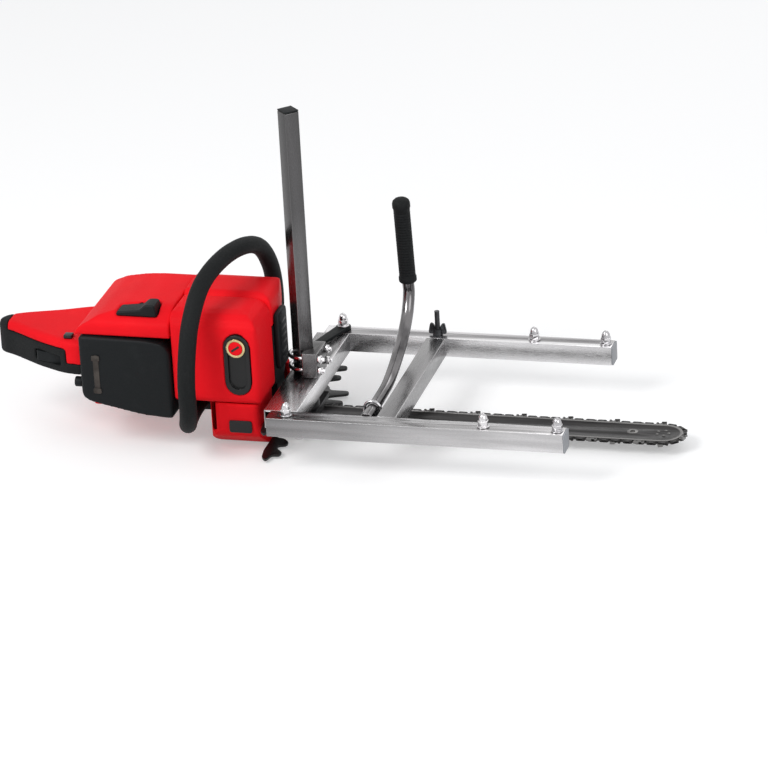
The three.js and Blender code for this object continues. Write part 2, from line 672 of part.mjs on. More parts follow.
function buildCylinderCover() {
  const back = -saw.coverDepth - clearance;
  const x = [sawMiddle + clearance, sawFront];
  const z = [saw.partingHeight, saw.coverTop];
  const elevation = rounded(
    [[x[0], z[0]], [x[1], z[0]], [x[1], z[1]], [x[0], z[1]]],
    [saw.edge, saw.edge, saw.frontCorner, saw.edge],
  );
  const block = cushion(x, [sawNear, back], z, saw.nearCorner, saw.shoulder, elevation);
  const inner = { y: [sawNear + saw.wall, back + overrun], z: [z[0] + saw.wall, z[1] - saw.wall] };
  const innerX = [x[0] + saw.wall, x[1] - saw.wall];
  const innerSide = rounded(
    spread(wholeShares, inner.y, inner.z), [0, 0, 0, saw.shoulder - saw.wall],
  );
  const innerElevation = rounded(
    spread(wholeShares, innerX, inner.z), [0, 0, saw.frontCorner - saw.wall, 0],
  );
  const cavity = prism(innerSide, 'x', ...innerX).intersect(prism(innerElevation, 'y', ...inner.y));
  const wellX = sawFront - well.inFromFront;
  const hole = slotShape(wellX, well.radius + clearance);
  add('cylinder_cover', block.subtract(cavity).subtract(
    prism(hole, 'y', sawNear - overrun, sawNear + saw.wall + overrun),
  ), 'red');

  const front = sawNear - well.proud;
  const valveZ = well.high - well.radius;
  const wellBlock = prism(slotShape(wellX, well.radius), 'y', front, front + well.depth, well.edge, 1);
  add('valve_well', wellBlock.subtract(
    round('y', [wellX, valveZ], valve.radius + clearance, front - overrun, front + well.pocket, 20),
  ).subtract(
    prism(
      slotShape(wellX, valve.radius - well.edge, well.shorten), 'y',
      front - overrun, front + well.pocket / 2,
    ),
  ), 'black');
  const ringFront = front - valve.proud;
  const ringBack = front + well.pocket - clearance;
  add('valve_ring', round('y', [wellX, valveZ], valve.radius, ringFront, ringBack, 20).subtract(
    round('y', [wellX, valveZ], valve.ring + clearance, ringFront - overrun, ringBack + overrun, 20),
  ), 'brass');
  add('valve_button', round(
    'y', [wellX, valveZ], valve.ring, ringFront - valve.buttonProud, ringBack - valve.travel - clearance, 20,
  ), 'red');
}

// A block with the given elevation, whose edges round off towards the near side.
function cushion(x, y, z, corner, topCorner, elevation) {
  const plan = rounded(spread(wholeShares, x, y), [corner, corner, 0, 0]);
  const side = rounded(spread(wholeShares, y, z), [corner, 0, 0, topCorner]);
  return prism(elevation, 'y', ...y).intersect(prism(plan, 'z', ...z)).intersect(prism(side, 'x', ...x));
}

function slotShape(x, radius, shorten = 0) {
  const low = well.low + well.radius;
  const high = well.high - well.radius;
  const shape = new THREE.Shape();
  shape.absarc(x, high, radius, 0, Math.PI);
  shape.absarc(x, low + shorten, radius, Math.PI, 2 * Math.PI);
  shape.closePath();
  return shape;
}

// Plan of the engine housing: its front face falls back from the muffler towards the saw's base.
function enginePlan(near) {
  const left = sawMiddle + clearance;
  return rounded([
    [left, near], [sawFront, near], [sawFront, muffler.farEdge],
    [sawFront - saw.frontTaper, saw.baseDepth], [left, saw.baseDepth],
  ], [0, 0, saw.taperRound, saw.nearCorner, 0]);
}

function buildEngine() {
  const x = [sawMiddle + clearance, sawFront];
  const y = [-saw.coverDepth, saw.baseDepth];
  const low = saw.partingHeight;
  const high = saw.housingTop;
  const padTop = barTop + clearance;
  let solid = prism(enginePlan(y[0]), 'z', low, high).subtract(box(
    [x[0] + saw.wall, x[1] - saw.wall - saw.frontTaper / 2], [y[0] + saw.wall, y[1] - saw.wall],
    [low + saw.wall, high - saw.wall],
  ));
  solid = solid.add(box(
    [barTail, barTail + barPad.length], [-barPad.halfWidth, barPad.halfWidth], [padTop, low + saw.wall],
  ));
  solid = solid.add(box(
    alongRange(sawMiddle + clearance, handleBoss.length),
    [-saw.coverDepth, -saw.coverDepth + handleBoss.depth],
    [handleBoss.low, low + saw.wall],
  ));
  for (const inFromFront of [barNut.first, barNut.second]) {
    solid = solid.add(round(
      'z', [sawFront - inFromFront, 0], bar.stud, clutchCover.low + barNut.recess, padTop,
    ));
  }
  solid = solid.subtract(round(
    'z', [crankX, 0], crank.radius + clearance, low - overrun, high + overrun, 16,
  )).subtract(round(
    'y', [crankX, cylinder.axisHeight], cylinder.bore, y[0] - overrun, y[0] + saw.wall + overrun, 16,
  ));
  add('crankcase', solid.subtract(capHole(capPlaces.oil)), 'black');

  const middle = (low + high) / 2;
  const webLow = middle - crank.webHeight * 2;
  const webHigh = middle + crank.webHeight;
  const shaft = round('z', [crankX, 0], crank.radius, crank.low, webLow + clearance, 16)
    .add(round('z', [crankX, 0], crank.radius, webHigh, crank.high, 16))
    .add(round('z', [crankX, 0], crank.web, webLow, webLow + crank.webHeight, 20))
    .add(round('z', [crankX, 0], crank.web, webHigh, webHigh + crank.webHeight, 20))
    .add(round('z', [crankX, -crank.throw], crank.pin, webLow, webHigh + crank.webHeight));
  add('crankshaft', shaft, 'bright');

  const bore = crank.radius + clearance;
  let wheel = round('z', [crankX, 0], flywheel.radius, flywheel.low, flywheel.low + flywheel.disc, 24)
    .add(round('z', [crankX, 0], flywheel.hub, flywheel.low, flywheel.high, 16));
  for (let i = 0; i < flywheel.fins; i++) {
    const fin = box(
      [flywheel.hub + overrun, flywheel.radius - sink], [-flywheel.fin / 2, flywheel.fin / 2],
      [flywheel.low + sink, flywheel.high],
    );
    wheel = wheel.add(fin.rotate([0, 0, (i / flywheel.fins) * 360]).translate([crankX, 0, 0]));
  }
  wheel = wheel.subtract(round(
    'z', [crankX, 0], bore, flywheel.low - overrun, flywheel.high + overrun, 16,
  ));
  add('flywheel', wheel, 'grey');

  const teeth = drum.teeth;
  const star = Array.from({ length: teeth * 4 }, (_, i) => {
    const angle = (i / (teeth * 4)) * 2 * Math.PI;
    const radius = i % 4 < 2 ? drum.sprocket : drum.sprocket - drum.tooth;
    return [crankX + radius * Math.cos(angle), radius * Math.sin(angle)];
  });
  add('clutch_drum', round('z', [crankX, 0], drum.radius, drum.low, drum.high, 24).subtract(
    round('z', [crankX, 0], drum.radius - drum.wall, drum.low + drum.floor, drum.high + overrun, 24),
  ).add(prism(rounded(star, 0), 'z', crank.low, drum.low + sink)).subtract(
    round('z', [crankX, 0], bore, crank.low - overrun, drum.high, 16),
  ), 'darkSteel');

  const foot = -saw.coverDepth - clearance;
  let barrel = round('y', [crankX, cylinder.axisHeight], cylinder.core, foot - cylinder.height, foot, 16);
  for (let i = 0; i < cylinder.fins; i++) {
    const back = foot - (i / cylinder.fins) * cylinder.height;
    barrel = barrel.add(round(
      'y', [crankX, cylinder.axisHeight], cylinder.radius, back - cylinder.fin, back, 20,
    ));
  }
  barrel = barrel.subtract(round(
    'y', [crankX, cylinder.axisHeight], cylinder.bore, foot - cylinder.height + cylinder.fin,
    foot + overrun, 16,
  ));
  const head = foot - cylinder.height;
  barrel = barrel.subtract(round(
    'y', [crankX, cylinder.axisHeight], plug.radius + clearance, head - overrun, head + cylinder.fin * 2,
  ));
  add('cylinder', barrel, 'grey');
  add('spark_plug', round(
    'y', [crankX, cylinder.axisHeight], plug.radius, head - clearance - plug.hexHeight, head + cylinder.fin,
  ).add(round(
    'y', [crankX, cylinder.axisHeight], plug.hex, head - clearance - plug.hexHeight, head - clearance, 6,
  )), 'bright');
}

function buildStarterCover() {
  const low = saw.housingTop + clearance;
  const high = saw.leftHeight;
  const near = -saw.coverDepth;
  const far = saw.baseDepth;
  const x = [sawMiddle + clearance, sawFront];
  const side = rounded([
    [near, low], [far, low], [far, high - saw.farCorner], [far - saw.farCorner, high],
    [near + saw.edge, high], [near, high - saw.edge],
  ], [0, 0, saw.taperRound, saw.taperRound, saw.edge, saw.edge / 2]);
  const plan = enginePlan(near);
  const elevation = rounded(
    [[x[0], low], [x[1], low], [x[1], high], [x[0], high]], [0, 0, saw.frontCorner, saw.edge / 2],
  );
  const cavityFront = x[1] - saw.wall - saw.frontTaper / 2;
  const slantInset = saw.wall * (Math.SQRT2 - 1);
  const innerSide = rounded([
    [near + saw.wall, low - overrun], [far - saw.wall, low - overrun],
    [far - saw.wall, high - saw.farCorner - slantInset], [far - saw.farCorner - slantInset, high - saw.wall],
    [near + saw.wall, high - saw.wall],
  ], 0);
  const innerElevation = rounded([
    [x[0] + saw.wall, low - overrun], [cavityFront, low - overrun],
    [cavityFront, high - saw.wall], [x[0] + saw.wall, high - saw.wall],
  ], [0, 0, saw.frontCorner - saw.wall, 0]);
  const cavity = prism(innerSide, 'x', x[0] + saw.wall, cavityFront)
    .intersect(prism(innerElevation, 'y', near, far));
  let solid = prism(side, 'x', x[0], x[1])
    .intersect(prism(plan, 'z', low, high))
    .intersect(prism(elevation, 'y', near, far))
    .subtract(cavity);
  const slot = box(
    [-slots.width / 2, slots.width / 2], [-slots.length / 2, slots.length / 2],
    [-saw.wall - overrun, saw.wall],
  ).rotate([-45, 0, 0]);
  for (let i = 0; i < slots.count; i++) {
    const middle = crankX + (i - (slots.count - 1) / 2) * slots.pitch;
    solid = solid.subtract(slot.translate([middle, far - saw.farCorner / 2, high - saw.farCorner / 2]));
  }
  add('starter_cover', solid, 'red');
}

function buildMuffler() {
  const x = sawFront + clearance;
  const z = [muffler.low, muffler.high];
  add('muffler', prism(rounded([
    [-muffler.nearEdge, z[0]], [muffler.farEdge, z[0]], [muffler.farEdge, z[1]], [-muffler.nearEdge, z[1]],
  ], muffler.corner), 'x', x, x + muffler.thickness, muffler.bevel, 1, 2), 'black');
}

// Filler caps on the saw's base, which the photo can't see. A cap is drawn upright and then laid
// over, so that it unscrews towards +Y.

const capPlaces = {
  fuel: [sawMiddle - capTop.fuelFromJoint, saw.baseDepth, capTop.fuelHeight],
  oil: [sawMiddle + capTop.oilFromJoint, saw.baseDepth, capTop.oilHeight],
};

function laidOver(solid, place) {
  return solid.rotate([-90, 0, 0]).translate(place);
}

function capHole(place) {
  const hole = round('z', [0, 0], tank.neck + clearance, -capTop.plug - overrun, overrun, 20);
  const seat = round('z', [0, 0], capTop.radius + capTop.rim, -capTop.sunk, overrun, 24);
  return laidOver(hole.add(seat), place);
}

function fillerCap(place) {
  const low = clearance - capTop.sunk;
  const rib = capTop.radius - capTop.ribInset;
  const cap = round('z', [0, 0], capTop.radius, low, low + capTop.height, 20)
    .add(round('z', [0, 0], tank.neck, -capTop.plug, low + capTop.sunk, 20))
    .add(box([-rib, rib], [-capTop.rib / 2, capTop.rib / 2], [low, low + capTop.height + capTop.ribHeight]));
  return laidOver(cap, place);
}

// Rear part: tank with the rear handle, air filter cover, switches and triggers

// The rear handle tapers towards its tip. Its outline is in shares of its length and its width.
const handleShares = [[1, 0], [0.81, 0], [0.677, 0.03], [0.451, 0.166], [0.159, 0.395], [0.06, 0.45],
  [0, 0.52], [0.03, 0.63], [0.12, 0.707], [0.226, 0.758], [0.488, 0.86], [0.689, 0.968], [0.793, 1], [1, 1]];
const fingerShares = [[0.879, 0.312], [0.597, 0.401], [0.323, 0.541], [0.298, 0.618], [0.444, 0.669],
  [0.645, 0.707], [0.879, 0.771]];
const handleTip = sawRear - rearHandle.length;

// The handle's outline between two heights. Its edge rounds off below its very top.
function handleSolid(low, high, root) {
  const r = rearHandle;
  const beyond = sawRear + r.beyond;
  const radii = handleShares.map(([share]) => (share === 1 ? 0 : r.round));
  const outline = rounded(spread(handleShares, [handleTip, beyond], [-r.near, r.far]), radii);
  const wide = [-r.near - overrun, r.far + overrun];
  const elevation = rounded(
    spread(wholeShares, [handleTip, root], [r.low, r.high]), [r.tipRound, 0, 0, r.tipRound],
  );
  return prism(outline, 'z', r.low - r.bevel, r.high, r.bevel, 2, 3)
    .intersect(prism(elevation, 'y', ...wide))
    .intersect(box([handleTip - overrun, root], wide, [low, high]));
}

function fingerHole() {
  const r = rearHandle;
  const outline = rounded(spread(fingerShares, [handleTip, sawRear], [-r.near, r.far]), r.holeRound);
  return prism(outline, 'z', r.low - overrun, r.split + clearance);
}

function buildRearBody() {
  const back = -filter.back + clearance;
  const near = sawNear + tank.setIn;
  const far = saw.baseDepth;
  const high = saw.tankHeight;
  const side = rounded([
    [back, tank.nearLow], [tank.floorDepth, tank.low], [far, tank.low], [far, high - tank.chamfer],
    [far - tank.chamfer, high], [near + tank.shoulder, high], [near, high - tank.shoulderDrop],
    [near, tank.lipUnder], [back, tank.lipUnder],
  ], [tank.round / 2, tank.round, tank.round, tank.round, tank.round, saw.nearCorner, tank.round, 0, 0]);
  const front = sawMiddle;
  const humpShares = [[0, 0], [0.12, 0.46], [0.36, 0.75], [0.66, 0.91], [1, 1]];
  const hump = spread(humpShares, [sawRear, sawRear + tank.hump], [tank.humpFoot, high]).reverse();
  const elevation = rounded(
    [
      [sawRear, tank.heelHigh], [sawRear + tank.heelLength, tank.low], [front, tank.low], [front, high],
      ...hump,
    ],
    [tank.round, tank.round, 0, 0, ...hump.map(() => tank.round)],
  );
  let solid = prism(side, 'x', sawRear, front).intersect(prism(elevation, 'y', near, far));
  const chamberMiddle = capPlaces.fuel[0];
  solid = solid.subtract(box(
    [chamberMiddle - tank.chamberLength / 2, chamberMiddle + tank.chamberLength / 2],
    [back + tank.wall, far - tank.wall],
    [0, high - tank.chamfer - tank.wall],
  )).subtract(capHole(capPlaces.fuel));

  // The handle's top, with a tab that reaches down beside the grip
  const r = rearHandle;
  const tabX = sawRear - r.tab;
  const tabBack = -r.near + r.tabDepth;
  solid = solid.add(handleSolid(r.split + clearance, r.high, handleRoot).subtract(
    box([handleTip - overrun, handleTip + r.tip], [-r.near, r.far], [r.low, r.high + overrun]),
  )).add(handleSolid(r.tabLow, r.split + clearance * 2, handleRoot).intersect(
    box([tabX, handleRoot], [-r.near - overrun, tabBack], [r.low, r.high]),
  ));
  solid = solid.subtract(box(
    [recoilX - recoil.length / 2 - clearance, recoilX + recoil.length / 2 + clearance],
    [-saw.topDepth - recoil.room, -recoil.depth + recoil.width / 2],
    [recoilSeat - clearance, postTop],
  ));
  solid = solid.subtract(round(
    'y', [recoilX, recoilStem], recoil.stem + clearance,
    -recoil.depth, -recoil.depth + recoil.stemLength + recoil.width, 10,
  ));
  const s = stopSwitch;
  solid = solid.subtract(round(
    'z', switchPlace, s.stem + clearance, r.high - s.stemLength - s.floor, postTop, 10,
  ));
  add('rear_body', solid, 'red');

  add('fuel_cap', fillerCap(capPlaces.fuel), 'black');
  add('oil_cap', fillerCap(capPlaces.oil), 'black');

  const wedgeShares = [[0, 0], [1, 0], [0.95, 1], [0.72, 1], [0.58, 0.55], [0.02, 0.34]];
  const wedge = spread(
    wedgeShares, [recoilX - recoil.length / 2, recoilX + recoil.length / 2],
    [recoilSeat, recoilSeat + recoil.height],
  );
  const wedgeBack = -recoil.depth + recoil.width / 2 - recoil.gap;
  add('recoil_grip', prism(
    rounded(wedge, recoil.round), 'y', -recoil.depth - recoil.width / 2, wedgeBack, recoil.bevel, 1, 2,
  ).add(round(
    'y', [recoilX, recoilStem], recoil.stem, -recoil.depth, wedgeBack + recoil.gap + recoil.stemLength, 10,
  )), 'black');

  add('stop_switch', round('z', switchPlace, s.stem, r.high - s.stemLength, r.high + s.height / 2, 10)
    .add(box(
      [switchPlace[0] - s.length / 2, switchPlace[0] + s.length / 2],
      [switchPlace[1] - s.width / 2, switchPlace[1] + s.width / 2],
      [r.high + clearance, r.high + s.height],
    )), 'black');
}

// A flat piece laid out along the gripped edge, from its pivot: shares of what it reaches ahead and
// behind, and outward and inward.
function gripPiece(shares, ahead, inward, round_, from, to) {
  const points = spread(shares, ahead, inward).map(([along, across]) => byGrip(along, across));
  return prism(rounded(points, round_), 'z', from, to);
}

function buildTriggers() {
  const t = trigger;
  const l = lockout;
  const r = rearHandle;
  const edge = -r.near - overrun;
  const behindCover = -filter.back - clearance;
  const tipBlock = handleSolid(r.low, r.high, handleTip + r.tip - clearance);
  let grip = handleSolid(r.low, r.split, handleRoot).add(tipBlock).subtract(fingerHole());
  grip = grip.subtract(
    box([sawRear - clearance, handleRoot + overrun], [behindCover, r.far + overrun], [0, postTop]),
  );
  grip = grip.subtract(box(
    [sawRear - r.tab - clearance, handleRoot + overrun], [edge, -r.near + r.tabDepth + clearance],
    [r.tabLow - clearance, postTop],
  ));

  const lockAhead = [l.aheadOfGrip - l.reach, l.aheadOfGrip + l.ahead];
  grip = grip.subtract(gripPiece(
    wholeShares, [lockAhead[0] - l.room, lockAhead[1] + l.room], [-l.depth, l.depth], 0,
    l.low - clearance, l.high + clearance,
  )).add(round('z', lockoutPivot, l.pin, l.low - overrun / 2, l.high + overrun / 2, 10));
  const triggerAhead = [-t.reach, t.ahead];
  const triggerAcross = [t.inFromEdge - t.back, t.inFromEdge + t.drop];
  grip = grip.subtract(gripPiece(
    wholeShares, [triggerAhead[0] - t.room, triggerAhead[1] + t.pin],
    [triggerAcross[0] - t.pin, triggerAcross[1]], 0, t.low - clearance, t.high + clearance,
  )).add(round('z', triggerPivot, t.pin, t.low - overrun / 2, t.high + overrun / 2, 10));
  add('rear_grip', grip, 'black');

  const hole = round('z', lockoutPivot, l.pin + clearance, 0, postTop, 10);
  const lockShares = [[1, 0.62], [1, 1], [0.17, 0.57], [0, 0.24], [0.085, 0], [0.72, 0.33]];
  add('throttle_lockout', gripPiece(
    lockShares, lockAhead, [l.inFromEdge - l.back, l.inFromEdge + l.inward], l.round, l.low, l.high,
  ).subtract(hole), 'black');

  const pivotHole = round('z', triggerPivot, t.pin + clearance, 0, postTop, 10);
  const triggerShares = [[1, 0], [1, 0.39], [0.65, 0.82], [0.22, 1], [0.13, 0.88], [0.39, 0.52], [0, 0.33],
    [0, 0.21]];
  add('throttle_trigger', gripPiece(
    triggerShares, triggerAhead, triggerAcross, t.round, t.low, t.high,
  ).subtract(pivotHole), 'black');
}

function buildFilterCover() {
  const x = alongRange(filterRear, filter.length);
  const near = sawNear - filter.proud;
  const back = -filter.back;
  const z = [filter.low, filter.high];
  const coverShares = [[0, 0.25], [0.08, 0.18], [0.27, 0.13], [0.66, 0.04], [1, 0], [1, 0.82], [0.94, 0.94],
    [0.75, 0.98], [0, 1]];
  const hollowShares = [[0.05, 0.28], [0.12, 0.23], [0.3, 0.18], [0.66, 0.09], [0.95, 0.06], [0.95, 0.8],
    [0.9, 0.88], [0.73, 0.93], [0.05, 0.95]];
  const block = cushion(
    x, [near, back], z, saw.nearCorner / 2, saw.nearCorner / 2,
    rounded(spread(coverShares, x, z), filter.round),
  );
  const knobPlace = [near + choke.inFromNear, choke.height];
  const knobFace = x[0] - choke.reach;
  add('air_filter_cover', block.subtract(
    prism(rounded(spread(hollowShares, x, z), 0), 'y', near + filter.bevel, back + overrun),
  ).subtract(
    round('x', knobPlace, choke.stem + clearance, knobFace, x[0] + choke.inside, 10),
  ), 'black');

  add('choke_knob', round('x', knobPlace, choke.stem, knobFace - sink, x[0] + choke.inside, 10).add(
    round('x', knobPlace, choke.head, knobFace - choke.headLength, knobFace, 14),
  ), 'black');
}

// The front handle runs from a boss under the engine, round the near side and over the starter side
// to the saw's base. Its way is in shares of the engine's length, depth and height.
function buildFrontHandle() {
  const wayShares = [
    [0.136, 0.223, -0.047], [0.164, 0.019, -0.047], [0.236, -0.165, 0.012], [0.3, -0.272, 0.174],
    [0.314, -0.301, 0.465], [0.321, -0.252, 0.727], [0.343, -0.155, 1], [0.393, 0.068, 1.244],
    [0.507, 0.35, 1.355], [0.636, 0.621, 1.355], [0.707, 0.864, 1.233], [0.736, 1.039, 0.988],
    [0.736, 1.117, 0.756], [0.736, 1.117, 0.558], [0.736, 1.087, 0.488],
  ];
  const foot = [
    sawMiddle + clearance + handleBoss.length / 2, -saw.coverDepth - clearance,
    handleBoss.low + handleBoss.tubeHeight,
  ];
  const way = wayShares.map(([along, across, up]) => [
    sawMiddle + along * saw.frontLength, sawNear + across * (saw.baseDepth - sawNear), up * saw.leftHeight,
  ]);
  add('front_handle', bent([foot, ...way], handleTube.radius, handleTube.steps, handleTube.sides), 'black');
}

// Clutch cover, bar nuts and bumper spikes

function buildClutchCover() {
  const c = clutchCover;
  const right = sawFront - c.front;
  const x = [right - c.length, right];
  const y = [sawNear + c.setIn, c.far];
  const top = saw.partingHeight - clearance;
  const plan = rounded(
    [[x[0], y[0]], [x[1], y[0]], [x[1], y[1]], [x[0], y[1]]], [c.rearCorner, c.corner, c.corner, c.corner],
  );
  const side = (inset) => rounded([
    [y[0] + inset, top + overrun], [y[0] + inset, c.nearLow + inset / 2],
    [y[0] + c.slant + inset, c.low + inset], [y[1] - inset, c.low + inset], [y[1] - inset, top + overrun],
  ], inset > 0 ? 0 : [0, c.under, c.under, c.bevel, 0]);
  const elevation = rounded([
    [x[0], c.low], [x[1], c.low], [x[1], top], [x[0], top],
  ], [c.foot, c.bevel, 0, 0]);
  let solid = prism(plan, 'z', c.low, top)
    .intersect(prism(side(0), 'x', x[0], x[1]))
    .intersect(prism(elevation, 'y', y[0], y[1]));
  solid = solid.subtract(prism(side(c.bevel), 'x', x[0] + c.wall, x[1] - c.wall));
  solid = solid.subtract(
    box([x[1] - c.wall - clearance, x[1] + overrun], [-c.slot, c.slot], [c.slotLow, top + overrun]),
  );
  for (const [name, inFromFront] of [['front', barNut.first], ['rear', barNut.second]]) {
    const place = [sawFront - inFromFront, 0];
    const low = c.low + barNut.recess;
    const high = low + barNut.height;
    const hole = round('z', place, bar.stud + clearance, c.low - overrun, c.low + c.bevel + overrun);
    solid = solid.subtract(hole)
      .subtract(round('z', place, barNut.pocket, c.low - overrun, high + clearance));
    add(`bar_nut_${name}`, round('z', place, barNut.radius, low, high, 6).subtract(hole), 'bright');
  }
  add('clutch_cover', solid, 'red');
  const plateX = [x[1] - coverPlate.fromFront - coverPlate.length, x[1] - coverPlate.fromFront];
  const plateZ = [coverPlate.low, coverPlate.low + coverPlate.height];
  const plateBack = y[0] - clearance;
  add('cover_plate', prism(rounded([
    [plateX[0], plateZ[0]], [plateX[1], plateZ[0]], [plateX[1], plateZ[1]], [plateX[0], plateZ[1]],
  ], coverPlate.corner), 'y', plateBack - coverPlate.thickness, plateBack), 'black');
}

function spikeOutline(back) {
  const halfShares = [
    [0, 0.76], [0.12, 0.93], [0.4, 1], [0.5, 0.94], [0.55, 0.86], [0.96, 0.86], [1, 0.78], [0.62, 0.7],
    [0.56, 0.62], [0.97, 0.6], [1, 0.52], [0.66, 0.44],
  ];
  const half = (fore) => halfShares.map(
    ([share, side]) => [back + share * (fore - back), side * spike.halfReach],
  ).concat([[back + spike.strip * 2, spike.recess]]);
  const far = half(sawFront + spike.forward);
  const near = half(sawFront + spike.nearForward).reverse().map(([x, y]) => [x, -y]);
  return rounded([...far, ...near], spike.round);
}

function buildSpikes() {
  const backs = {
    inner: sawFront - barPad.front + clearance,
    outer: sawFront - clutchCover.front + clearance,
  };
  add('inner_spike', prism(
    spikeOutline(backs.inner), 'z', spike.innerTop - spike.thickness, spike.innerTop, 0, 1, 2,
  ), 'black');
  add('outer_spike', prism(
    spikeOutline(backs.outer), 'z', spike.outerTop - spike.thickness, spike.outerTop, 0, 1, 2,
  ), 'black');
}

buildFrame();
buildWingScrew();
buildLockLever();
buildPost();
buildPostClamp();
buildBarClamp();
buildPushHandle();
buildBar();
buildChain();
buildCylinderCover();
buildEngine();
buildStarterCover();
buildMuffler();
buildRearBody();
buildTriggers();
buildFilterCover();
buildFrontHandle();
buildClutchCover();
buildSpikes();

export default mill;
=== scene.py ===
# %% [markdown]
# # A chainsaw mill
# A petrol chainsaw lies on its side and its guide bar is clamped to the foot of a square post. A frame of
# square tubes slides on the post and sets how thick the board is. The solids come from the CAD model.
# This lesson keeps those whose shape is right, gives them softer edges, and builds the rounder pieces anew.

# %% Load the solids
import math

import bpy
import bmesh
from mathutils import Matrix, Vector


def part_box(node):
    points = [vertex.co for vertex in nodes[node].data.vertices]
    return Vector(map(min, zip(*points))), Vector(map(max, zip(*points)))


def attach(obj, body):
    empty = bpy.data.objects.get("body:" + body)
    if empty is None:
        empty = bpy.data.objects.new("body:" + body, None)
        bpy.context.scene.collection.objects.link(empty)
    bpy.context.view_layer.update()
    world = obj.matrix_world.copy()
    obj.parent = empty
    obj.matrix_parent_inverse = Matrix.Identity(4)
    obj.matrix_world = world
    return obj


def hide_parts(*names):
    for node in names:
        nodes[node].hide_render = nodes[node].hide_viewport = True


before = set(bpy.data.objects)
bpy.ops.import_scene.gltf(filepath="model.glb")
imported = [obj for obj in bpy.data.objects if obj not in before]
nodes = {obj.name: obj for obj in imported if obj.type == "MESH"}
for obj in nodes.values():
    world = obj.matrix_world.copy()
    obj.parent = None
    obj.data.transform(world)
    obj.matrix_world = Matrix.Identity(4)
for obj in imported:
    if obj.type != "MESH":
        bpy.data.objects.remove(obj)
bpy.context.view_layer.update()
scene = bpy.context.scene
MM = 0.001
MERGE = 0.00001

# %% [markdown]
# ## The camera
# The photograph was taken from far away with a long lens, a little from the right and from above, and it
# leans a few degrees. The camera is set by three directions, so that it leans the same way.

# %% Camera
camera_right = Vector((0.96586, 0.25373, -0.05222)).normalized()
camera_up = Vector((-0.05441, 0.39577, 0.91674)).normalized()
camera_back = camera_right.cross(camera_up).normalized()
camera_up = camera_back.cross(camera_right).normalized()
rail_corner = Vector((-0.181, -0.183, 0.030))
aim_right, aim_up, camera_distance = 0.1795, 0.0519, 8.0
long_lens, sensor_width = 247.9, 36
aim = rail_corner + camera_right * aim_right + camera_up * aim_up
camera_data = bpy.data.cameras.new("camera")
camera_data.lens = long_lens
camera_data.sensor_width = sensor_width
camera_data.clip_start = 0.1
camera_data.clip_end = 60
camera = bpy.data.objects.new("camera", camera_data)
scene.collection.objects.link(camera)
turn = Matrix((camera_right, camera_up, camera_back)).transposed()
camera.matrix_world = Matrix.Translation(aim + camera_back * camera_distance) @ turn.to_4x4()
scene.camera = camera
print("camera at", tuple(round(value, 3) for value in camera.location))


# %% [markdown]
# ## Small helpers
# These helpers select one object only, apply a modifier, and hand a finished piece over to its body.

# %% Helpers for single objects
def only(obj):
    """Selects one object and makes it active."""
    bpy.ops.object.select_all(action="DESELECT")
    obj.select_set(True)
    bpy.context.view_layer.objects.active = obj
    return obj


def modify(obj, kind, **settings):
    """Adds a modifier and applies it at once."""
    only(obj)
    modifier = obj.modifiers.new(kind.lower(), kind)
    for key, value in settings.items():
        setattr(modifier, key, value)
    bpy.ops.object.modifier_apply(modifier=modifier.name)
    return obj


def bake_place(obj):
    """Moves an object's place into its mesh, so that the object sits at the origin."""
    only(obj)
    bpy.ops.object.transform_apply(location=True, rotation=True, scale=True)
    return obj


def smooth(obj, degrees=35):
    """Shades gentle bends smooth and keeps sharp edges sharp."""
    only(obj)
    bpy.ops.object.shade_smooth_by_angle(angle=math.radians(degrees))
    return obj


def hand_over(obj, name, body, material, stands_for=(), degrees=35):
    """Names a finished piece, dresses it, and lets it ride on its body."""
    bake_place(obj)
    smooth(obj, degrees)
    obj.name = name
    obj.data.name = name
    obj.data.materials.clear()
    obj.data.materials.append(material)
    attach(obj, body)
    if stands_for:
        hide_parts(*stands_for)
    return obj


def join(objects):
    """Joins several meshes into the first one."""
    bpy.ops.object.select_all(action="DESELECT")
    for obj in objects:
        obj.select_set(True)
    bpy.context.view_layer.objects.active = objects[0]
    bpy.ops.object.join()
    return objects[0]


def twin(obj):
    """A copy with a mesh of its own."""
    copy = obj.copy()
    copy.data = obj.data.copy()
    scene.collection.objects.link(copy)
    return copy


def from_solid(node):
    """A copy of a solid with its loose triangles merged."""
    copy = bpy.data.objects.new(node + "_copy", nodes[node].data.copy())
    scene.collection.objects.link(copy)
    copy.data.materials.clear()
    only(copy)
    bpy.ops.object.mode_set(mode="EDIT")
    bpy.ops.mesh.select_all(action="SELECT")
    bpy.ops.mesh.remove_doubles(threshold=MERGE)
    bpy.ops.mesh.dissolve_limited(angle_limit=math.radians(0.5))
    bpy.ops.object.mode_set(mode="OBJECT")
    return copy


print("helpers ready")


# %% [markdown]
# ## Materials
# Every finish is built from nodes that read Object coordinates, so nothing slides when a piece moves. One
# helper makes the common part: a colour that varies a little, a roughness that varies, and a fine bump.

# %% A helper for finishes
def finish_nodes(name, metallic):
    material = bpy.data.materials.new(name)
    material.use_nodes = True
    tree = material.node_tree
    shader = tree.nodes["Principled BSDF"]
    shader.inputs["Metallic"].default_value = metallic
    place = tree.nodes.new("ShaderNodeTexCoord")
    return material, tree, shader, place.outputs["Object"]


def noise(tree, vector, scale, detail=4, stretch=(1, 1, 1), roughness=0.5):
    mapping = tree.nodes.new("ShaderNodeMapping")
    mapping.inputs["Scale"].default_value = stretch
    tree.links.new(vector, mapping.inputs["Vector"])
    texture = tree.nodes.new("ShaderNodeTexNoise")
    texture.inputs["Scale"].default_value = scale
    texture.inputs["Detail"].default_value = detail
    texture.inputs["Roughness"].default_value = roughness
    tree.links.new(mapping.outputs["Vector"], texture.inputs["Vector"])
    return texture.outputs["Fac"]


